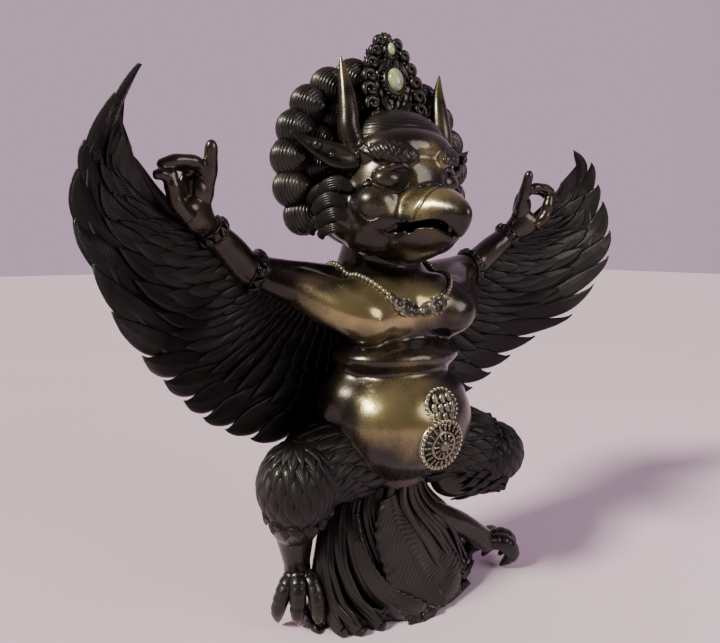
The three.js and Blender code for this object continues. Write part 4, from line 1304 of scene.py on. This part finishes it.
PETALS = [(0.6, -0.3), (0.98, -0.2), (1.02, 0.05), (0.85, 0.26), (0.6, 0.2), (0.4, 0.3), (0.3, 0.5),
          (0.12, 0.56)]
CHAIN_BEADS = 86
FLOWERS = [(-38, 2.1), (-29, 2.5), (-19, 3.2), (-9, 2.6), (9, 2.6), (19, 3.2), (29, 2.5), (38, 2.1)]


def chain():
    """Beads at even steps along the path laid on the body, eight flowers, and one large bead."""
    fine = laid(body_tree, collar_place(spaced(0, 2 * np.pi, 400)), 0.5)[0]
    gone = np.concatenate([[0], np.cumsum(np.linalg.norm(np.diff(fine, axis=0), axis=-1))])
    even = spaced(0, gone[-1], CHAIN_BEADS + 1)[:-1]
    forms = [beads(np.stack([np.interp(even, gone, fine[:, axis]) for axis in range(3)], -1), 1.12)]
    ring = round_turn(9)[:, None]
    for degrees, size in FLOWERS:
        place, out = laid(body_tree, collar_place(np.pi / 2 - np.radians(degrees))[None], 0.4)
        forms.append(turned(PETALS, size, place, out + [0, -0.2, 0.1], 40,
                            petals=lambda turn: 1 + 0.16 * np.abs(np.cos(2.5 * turn)) - 0.1))
        if size > 3:
            side, down = square_to(out[0], UP)
            spokes = np.cos(ring) * side - np.sin(ring) * down
            forms.append(beads(place + spokes * size * 0.98 + out * 0.4, 0.62))
    forms.append(beads(laid(body_tree, collar_place(np.pi / 2)[None], 1.7)[0], 1.5))
    return make("chain", gather(forms))


BANDS = [  # start and end on the left arm, radius there, and the share of it at the end
    ((50, 22.9, 132.4), (53, 22.9, 133.4), 7.0, 0.94),
    ((67.4, 17.8, 145.2), (69.6, 16.8, 147.6), 5.3, 0.94),
]


def bands():
    """Two hoops and a ring of scalloped leaves between them, for each armlet and each cuff."""
    forms = []
    turn = round_turn(12)[:, None]
    for side in SIDES:
        for start, end, radius, slim in BANDS:
            start, end = sided(side, start), sided(side, end)
            axis = end - start
            forms += [hoop(start, axis, radius, 0.6), hoop(end, axis, radius * slim, 0.6)]
            aside, down = square_to(unit(axis), UP)
            outs = np.cos(turn) * aside - np.sin(turn) * down
            lines = np.stack([start + outs * (radius - 0.4), start + axis * 0.45 + outs * (radius + 0.8),
                              start + axis * 1.05 + outs * (radius * slim + 0.9)], 1)
            forms.append(leaves(lines, outs, radius * 0.27, [0.9, 1, 0.85, 0.2], thick=0.9, top=7,
                                relief=dent(0.35, 0.4)))
    return make("armlets_and_cuffs", gather(forms))


necklace, armlets = chain(), bands()
print("chain beads:", CHAIN_BEADS, "flowers:", len(FLOWERS))


# %% Belly ornament
WHEEL, PANEL = ((-0.8, -20.9, 72.8), (0, -1, -0.12)), ((0.2, -18.8, 86.2), (0, -1, 0.34))
WHEEL_STEPS = [
    (6, -1.6), (8.9, -1.6), (9.4, -0.4), (9.3, 0.5), (8.1, 0.7), (7.8, 0.2), (5.5, 0.2),
    (5.2, 0.9), (4.5, 0.9), (4.2, 0.3), (2.2, 0.3), (1.9, 1.2), (1.1, 1.6), (0.5, 1.7),
]
PANEL_STEPS = [(4, -1.4), (6.4, -1.4), (6.9, -0.3), (6.8, 0.3), (6.0, 0.4), (5.6, 0.1), (2, 0.2),
               (0.5, 0.2)]
PANEL_PETALS = [  # x and z of each petal's middle
    (-2.9, 3.2), (0, 3.8), (2.9, 3.2), (-3.9, 0.3), (-1.35, 0.6), (1.35, 0.6), (3.9, 0.3),
    (-2.9, -2.9), (0, -2.6), (2.9, -2.9),
]


def belly_place(plate, across, rise, lift, bend=52.0):
    """A place on a plate, its centre and facing given, that bends back like the belly: it drops by
    the square of its distance."""
    centre, out = np.array(plate[0]), unit(np.array(plate[1], float))
    side, top = square_to(out, UP)
    across, rise = (np.asarray(value, float)[..., None] for value in (across, rise))
    return centre - across * side + rise * top + (lift - (across**2 + rise**2) / bend) * out


def belly_ring(plate, radius, turn, lift):
    """Places round a plate's middle."""
    return belly_place(plate, radius * np.cos(turn), radius * np.sin(turn), lift)


def ring_plate(plate, steps, cols, bead_ring, count, lift, size):
    """Concentric steps on a bent plate, given as radius and height, and a ring of beads."""
    rings = np.stack([belly_ring(plate, radius, round_turn(cols), height) for radius, height in steps])
    ends = [belly_place(plate, 0, 0, height) for height in (steps[0][1], steps[-1][1])]
    return [skin(rings, *ends), beads(belly_ring(plate, bead_ring, round_turn(count), lift), size)]


def belly_ornament():
    """The wheel with its two rings of spokes, and the panel with its ten petals."""
    forms = ring_plate(WHEEL, WHEEL_STEPS, 72, 8.8, 34, 0.75, 0.76)
    for count, inner, outer, half in [(20, 5.7, 7.8, 0.5), (12, 2.3, 4.2, 0.42)]:
        lines = belly_ring(WHEEL, spaced(inner, outer, 4), round_turn(count)[:, None], 0.45)
        forms.append(leaves(lines, unit(np.array(WHEEL[1])), half, [0.7, 1, 1, 0.7], thick=0.7, rows=7,
                            tips=1.0))
    forms += ring_plate(PANEL, PANEL_STEPS, 48, 6.45, 24, 0.55, 0.72)
    x, z = np.array(PANEL_PETALS).T[..., None]
    fall = spaced(1.5, -1.7, 4)
    lines = belly_place(PANEL, x + 0 * fall, z + fall, 0.5)
    forms.append(leaves(lines, unit(np.array(PANEL[1])), 1.3, [0.5, 1, 1, 0.4], thick=1.2, rows=8, top=7,
                        tips=0.9))
    return make("belly_ornament", gather(forms))


jewel = belly_ornament()
print("belly ornament faces:", len(jewel.data.polygons))

# %% [markdown]
# ## Bronze and stone
#
# The casting is dark: a brown-black patina with the metal bared bright by rubbing where hands and cloth
# reach. A value stored on every point, from how much the surface bulges there and from where it
# is, is turned by the shader into golden metal through a noisy edge. That value also holds painted
# light: it is raised for painted highlights on the belly, chest, arms, right shank, brow, cheeks and
# beak, and kept low for painted shade under the beak and in the eye sockets. Feathers carry slanting
# barbs, drawn along their own coordinates, too fine to be shaped.

# %% Wear, stored on the points
def wear_and_painted_light(piece, level, gain):
    """level, a number or a function of the points in mm, plus how far each point stands out from
    its neighbours' middle along its normal, as a share of its edges' length. On the body and the
    head the level also holds painted highlights and painted shade."""
    points, normals, ends = points_of(piece), normals_of(piece), ends_of(piece)
    first, second = ends[:2]
    edge = points[first] - points[second]
    length = np.linalg.norm(edge, axis=1)
    bulge = edge_mean(ends, (edge * normals[first]).sum(1), -(edge * normals[second]).sum(1))
    bulge /= np.maximum(edge_mean(ends, length, length), 1e-6)
    for _ in range(2):
        bulge = 0.5 * bulge + 0.5 * edge_mean(ends, bulge[second], bulge[first])
    value = (level(points, normals) if callable(level) else level) + gain * np.clip(bulge, -0.4, 0.4)
    layer = piece.data.attributes.new("wear_and_painted_light", "FLOAT", "POINT")
    layer.data.foreach_set("value", np.clip(value, 0, 1).astype(np.float32))


def blob(points, centre, reach):
    """1 at the centre, and less by a bell curve with that reach along each axis."""
    return np.exp(-(((points - np.array(centre, float)) / reach) ** 2).sum(1))


# %% Where rubbing bares the metal, and where highlights and shade are painted
# Painted highlights as well as metal bared by rubbing: the spots sit where the light falls on the front,
# the right breast and the right shank.
HIGHLIGHT_AND_RUB_SPOTS = [  # share, centre, reach: belly, below it, chest, arm, right breast, arm, shank
    (0.95, (-12, -14, 85), (21, 22, 17)), (0.25, (-8, -20, 66), (14, 12, 9)),
    (0.95, (-8, -4, 121), (34, 20, 13)), (0.3, (-40, 18, 130), (16, 14, 10)),
    (0.5, (-22, 0, 119), (15, 13, 8)), (0.3, (40, 18, 130), (16, 14, 10)),
    (0.4, (-41, 12, 30), (9, 12, 14)),
]


def body_rub_and_highlight(p, n):
    """Painted highlights, partly metal bared by rubbing too, on the belly, chest, right breast, upper arms
    and right shank, stronger on faces turned to the front; dark legs, back and feet.
    """
    bright = sum(share * blob(p, centre, reach) for share, centre, reach in HIGHLIGHT_AND_RUB_SPOTS)
    return 0.1 + 0.52 * np.minimum(bright, 1) * np.clip(0.55 - n[:, 1], 0, 1)


def head_rub_light_and_shade(p, n):
    """Painted highlights, partly metal bared by rubbing too, on the brow, cheeks and beak; painted shade
    keeps the lower jaw below the mouth and the eye sockets dark, and the sides stay dark.
    """
    face = blob(p, (0, -12, 160), (24, 20, 20)) * np.clip(0.6 - n[:, 1], 0, 1)
    mirrored = np.abs(p) * [1, 0, 0] + p * [0, 1, 1]
    # Painted shade: the eye sockets and the bridge between them are kept dark.
    socket = blob(mirrored, (12, -7, 165), (7, 8, 5)) + blob(p, (0, -13, 165), (6, 8, 6))
    # Painted shade under the beak: below the mouth the level drops almost to nothing.
    return 0.1 + 0.56 * face * np.clip((p[:, 2] - 148.5) / 4, 0.02, 1) * (1 - 0.6 * np.clip(socket, 0, 1))


def horn_level(p, n):
    """Brighter towards the tips, in front."""
    return 0.15 + 0.4 * between(p[:, 2], 178, 208) * np.clip(0.5 - n[:, 1], 0, 1)


for pieces, level, gain in [
    ([body], body_rub_and_highlight, 0.9), ([head], head_rub_light_and_shade, 1.0), ([horns], horn_level, 0.5),
    ([hair], 0.12, 1.2), ([cap, plumes], 0.1, 1.0), ([face], 0.16, 0.6), ([brows], 0.16, 1.2),
    ([eyes], 0.22, 0.8), ([ears, hands], 0.2, 0.9), ([beard, necklace], 0.2, 1.2), ([crown], 0.14, 0.9),
    ([armlets], 0.16, 0.9),
    ([jewel], 0.34, 1.2), (wings, 0.03, 0.35), (legs, 0.08, 0.7), (feet, 0.12, 0.8),
]:
    for piece in pieces:
        wear_and_painted_light(piece, level, gain)
wear_and_light_values = [point.value for point in body.data.attributes["wear_and_painted_light"].data]
print("wear on the body, mean and most:", round(float(np.mean(wear_and_light_values)), 3), round(max(wear_and_light_values), 3))


# %% Shader values as numbers
class Value:
    """A shader socket that can be added to, taken from, multiplied and raised like a number."""
    def __init__(self, shader, socket):
        self.shader, self.socket = shader, socket

    def math(self, operation, other, swapped=False):
        """One operation with another value or number, which comes first where swapped."""
        pair = (other, self) if swapped else (self, other)
        return self.shader.node("ShaderNodeMath", {"operation": operation}, {0: pair[0], 1: pair[1]})

    def __add__(self, other): return self.math("ADD", other)
    def __radd__(self, other): return self.math("ADD", other, True)
    def __sub__(self, other): return self.math("SUBTRACT", other)
    def __rsub__(self, other): return self.math("SUBTRACT", other, True)
    def __mul__(self, other): return self.math("MULTIPLY", other)
    def __rmul__(self, other): return self.math("MULTIPLY", other, True)
    def __truediv__(self, other): return self.math("DIVIDE", other)
    def __rtruediv__(self, other): return self.math("DIVIDE", other, True)
    def __pow__(self, other): return self.math("POWER", other)


class Finish:
    """A material under construction."""
    def __init__(self, name):
        self.material = bpy.data.materials.new(name)
        self.material.use_nodes = True
        self.tree = self.material.node_tree
        self.surface = self.tree.nodes["Principled BSDF"]
        self.object = self.node("ShaderNodeTexCoord", {}, {}, "Object")

    def put(self, socket, value):
        """Links a value to a socket, or types a number or colour into it."""
        if isinstance(value, Value):
            self.tree.links.new(value.socket, socket)
        else:
            socket.default_value = value

    def node(self, kind, settings, values, out=0):
        """A node of this kind with its settings and the values of its inputs; gives one output."""
        made = self.tree.nodes.new(kind)
        for key, value in settings.items():
            setattr(made, key, value)
        for key, value in values.items():
            self.put(made.inputs[key], value)
        return Value(self, made.outputs[out])

    def noise(self, scale, detail):
        """Clouds that repeat about scale times in a metre."""
        values = {"Vector": self.object, "Scale": scale, "Detail": detail}
        return self.node("ShaderNodeTexNoise", {}, values)

    def mix(self, factor, a, b):
        """A colour between two, by the factor."""
        return self.node("ShaderNodeMix", {"data_type": "RGBA"}, {0: factor, 6: a, 7: b}, 2)

    def step(self, value, low, high):
        """0 below the low value, 1 above the high one, smooth between."""
        smooth_step = {"interpolation_type": "SMOOTHSTEP"}
        return self.node("ShaderNodeMapRange", smooth_step, {0: value, 1: low, 2: high})

    def finish(self, **values):
        """Sets the surface's inputs, their spaces written as underscores."""
        for key, value in values.items():
            self.put(self.surface.inputs[key.replace("_", " ")], value)
        return self.material


# %% Bronze
def bronze(name, dark, warm, bright, low, high, gloss, feathers=False, wax=0.22):
    """Dark patina, warm brown, and bright metal by the stored value, which is metal bared by rubbing and,
    on the body and the face, painted highlight too; cloudy blotches and fine casting grain.
    """
    f = Finish(name)
    rubbing_and_highlight = f.node("ShaderNodeAttribute", {"attribute_name": "wear_and_painted_light"}, {}, "Fac")
    clouds = f.noise(70.0, 4.0)
    grain = f.noise(1400.0, 2.0)
    edge = rubbing_and_highlight + (clouds - 0.5) * 0.5 + (grain - 0.5) * 0.1
    mask = f.step(edge, low, high)
    deep = f.mix(f.step(clouds, 0.35, 0.7), dark, warm)
    colour = f.mix(mask, deep, bright)
    rough = gloss + 0.1 * (1 - mask) + 0.14 * (grain - 0.5) + 0.1 * (clouds - 0.5)
    height = grain * 0.35 + f.noise(420.0, 2.0) * 0.65
    if feathers:
        along = f.node("ShaderNodeUVMap", {"uv_map": "surface"}, {})
        across = f.node("ShaderNodeSeparateXYZ", {}, {0: along})
        rise = Value(f, across.socket.node.outputs[1])
        lean = f.node("ShaderNodeMath", {"operation": "ABSOLUTE"}, {0: across})
        comb = f.node("ShaderNodeMath", {"operation": "SINE"}, {0: (rise - lean * 1.3) * 62.0})
        height = height * 0.5 + comb * 0.5
    strength = 0.55 if feathers else 0.35
    bump = f.node("ShaderNodeBump", {}, {"Strength": strength, "Distance": 0.00022, "Height": height})
    return f.finish(Base_Color=colour, Roughness=rough, Metallic=0.55 + 0.45 * mask, Normal=bump,
                    Coat_Weight=wax, Coat_Roughness=0.14)


# The bright colour is metal bared by rubbing, and on the body and the face painted highlight as well.
BRONZES = {  # dark, warm and bright colour; wear where rubbed metal begins and is full; roughness
    "rubbed_and_highlit_bronze": [
        (0.011, 0.009, 0.007, 1), (0.032, 0.024, 0.015, 1), (0.42, 0.355, 0.16, 1), 0.3, 0.9, 0.18],
    "dark_bronze": [
        (0.007, 0.0065, 0.006, 1), (0.018, 0.015, 0.011, 1), (0.17, 0.155, 0.10, 1), 0.32, 0.95, 0.28],
    "feather_bronze": [
        (0.004, 0.0036, 0.0034, 1), (0.010, 0.0085, 0.007, 1), (0.09, 0.08, 0.055, 1), 0.35, 1.0, 0.36,
        True, 0.1],  # with barbs, and less wax
    "jewel_bronze": [
        (0.012, 0.011, 0.008, 1), (0.04, 0.034, 0.022, 1), (0.34, 0.32, 0.23, 1), 0.3, 0.8, 0.26],
}
bronzes = [bronze(name, *row) for name, row in BRONZES.items()]


# %% Pale stone
def pale_stone():
    """Milky green with faint bands and a polished skin."""
    f = Finish("pale_green_stone")
    bands = f.noise(420.0, 5.0)
    colour = f.mix(f.step(bands, 0.35, 0.65), (0.20, 0.25, 0.13, 1), (0.34, 0.40, 0.24, 1))
    return f.finish(Base_Color=colour, Roughness=0.14 + 0.1 * bands, Coat_Weight=0.4)


for finish, pieces in zip([*bronzes, pale_stone()], [
    (body, head, hands, horns, face, eyes),
    (hair, cap, brows, ears, beard, crown, plumes, armlets, *feet),
    (*wings, *legs), (necklace, jewel), stones.values(),
]):
    for piece in pieces:
        piece.data.materials.append(finish)
    print(finish.name, "on", len(pieces), "pieces")


# %% [markdown]
# ## Floor and light
#
# A plain pale floor runs to the horizon. One soft distant light from the figure's right, and high,
# lights the floor evenly, a wide lamp fills from its left front, and the pale surroundings do the
# rest.

# %% Floor and lamps
def plain_floor():
    """Matt paper, hardly mottled."""
    f = Finish("floor_paper")
    paper = f.noise(6.0, 2.0)
    colour = f.mix(paper, (0.60, 0.48, 0.58, 1), (0.63, 0.51, 0.61, 1))
    return f.finish(Base_Color=colour, Roughness=0.8)


mesh = bpy.data.meshes.new("floor")
mesh.from_pydata([(-3, -3, 0), (3, -3, 0), (3, 3, 0), (-3, 3, 0)], [], [(0, 1, 2, 3)])
floor = bpy.data.objects.new("floor", mesh)
bpy.context.scene.collection.objects.link(floor)
mesh.materials.append(plain_floor())


def lamp(name, kind, place, aim, size, power, colour):
    """A wide disk in mm, or a distant light whose size is the angle it fills, in degrees."""
    data = bpy.data.lights.new(name, kind)
    data.energy, data.color = power, colour
    if kind == "AREA":
        data.shape, data.size = "DISK", size * MM
    else:
        data.angle = np.radians(size)
    light = bpy.data.objects.new(name, data)
    light.location = Vector(place) * MM
    light.rotation_euler = (Vector(aim) - Vector(place)).to_track_quat("-Z", "Y").to_euler()
    bpy.context.scene.collection.objects.link(light)


lamp("key", "SUN", (-420, -30, 330), (0, 0, 0), 11, 6.4, (1, 0.95, 0.77))
lamp("fill", "AREA", (200, -430, 330), (0, 0, 120), 300, 1.6, (1, 0.9, 0.9))

world = bpy.data.worlds.new("studio")
world.use_nodes = True
sky = world.node_tree
where = sky.nodes.new("ShaderNodeTexCoord")
parts = sky.nodes.new("ShaderNodeSeparateXYZ")
ramp = sky.nodes.new("ShaderNodeMapRange")
for number, bound in zip((1, 2, 3, 4), (-0.6, 0.5, 0.12, 0.85)):  # from these two to those two
    ramp.inputs[number].default_value = bound
sky.links.new(where.outputs["Generated"], parts.inputs[0])
sky.links.new(parts.outputs[1], ramp.inputs[0])
sky.links.new(ramp.outputs[0], sky.nodes["Background"].inputs[1])
sky.nodes["Background"].inputs[0].default_value = (0.68, 0.47, 0.61, 1)
bpy.context.scene.world = world

# %% Riding and replacing
cast = (body, hands, head, face, brows, eyes, ears, beard, horns, hair, cap, crown,
        *wings, *legs, *feet, plumes, necklace, armlets, jewel)
for piece in cast:
    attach(piece, "root")
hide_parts("garuda_figure")
for name, slot in (("crest_cabochon", "cabochon"), ("crest_top_stone", "top_stone")):
    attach(stones[name], "root")
    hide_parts(name)
print("pieces:", len(cast) + 2, "faces:", sum(len(piece.data.polygons) for piece in cast))
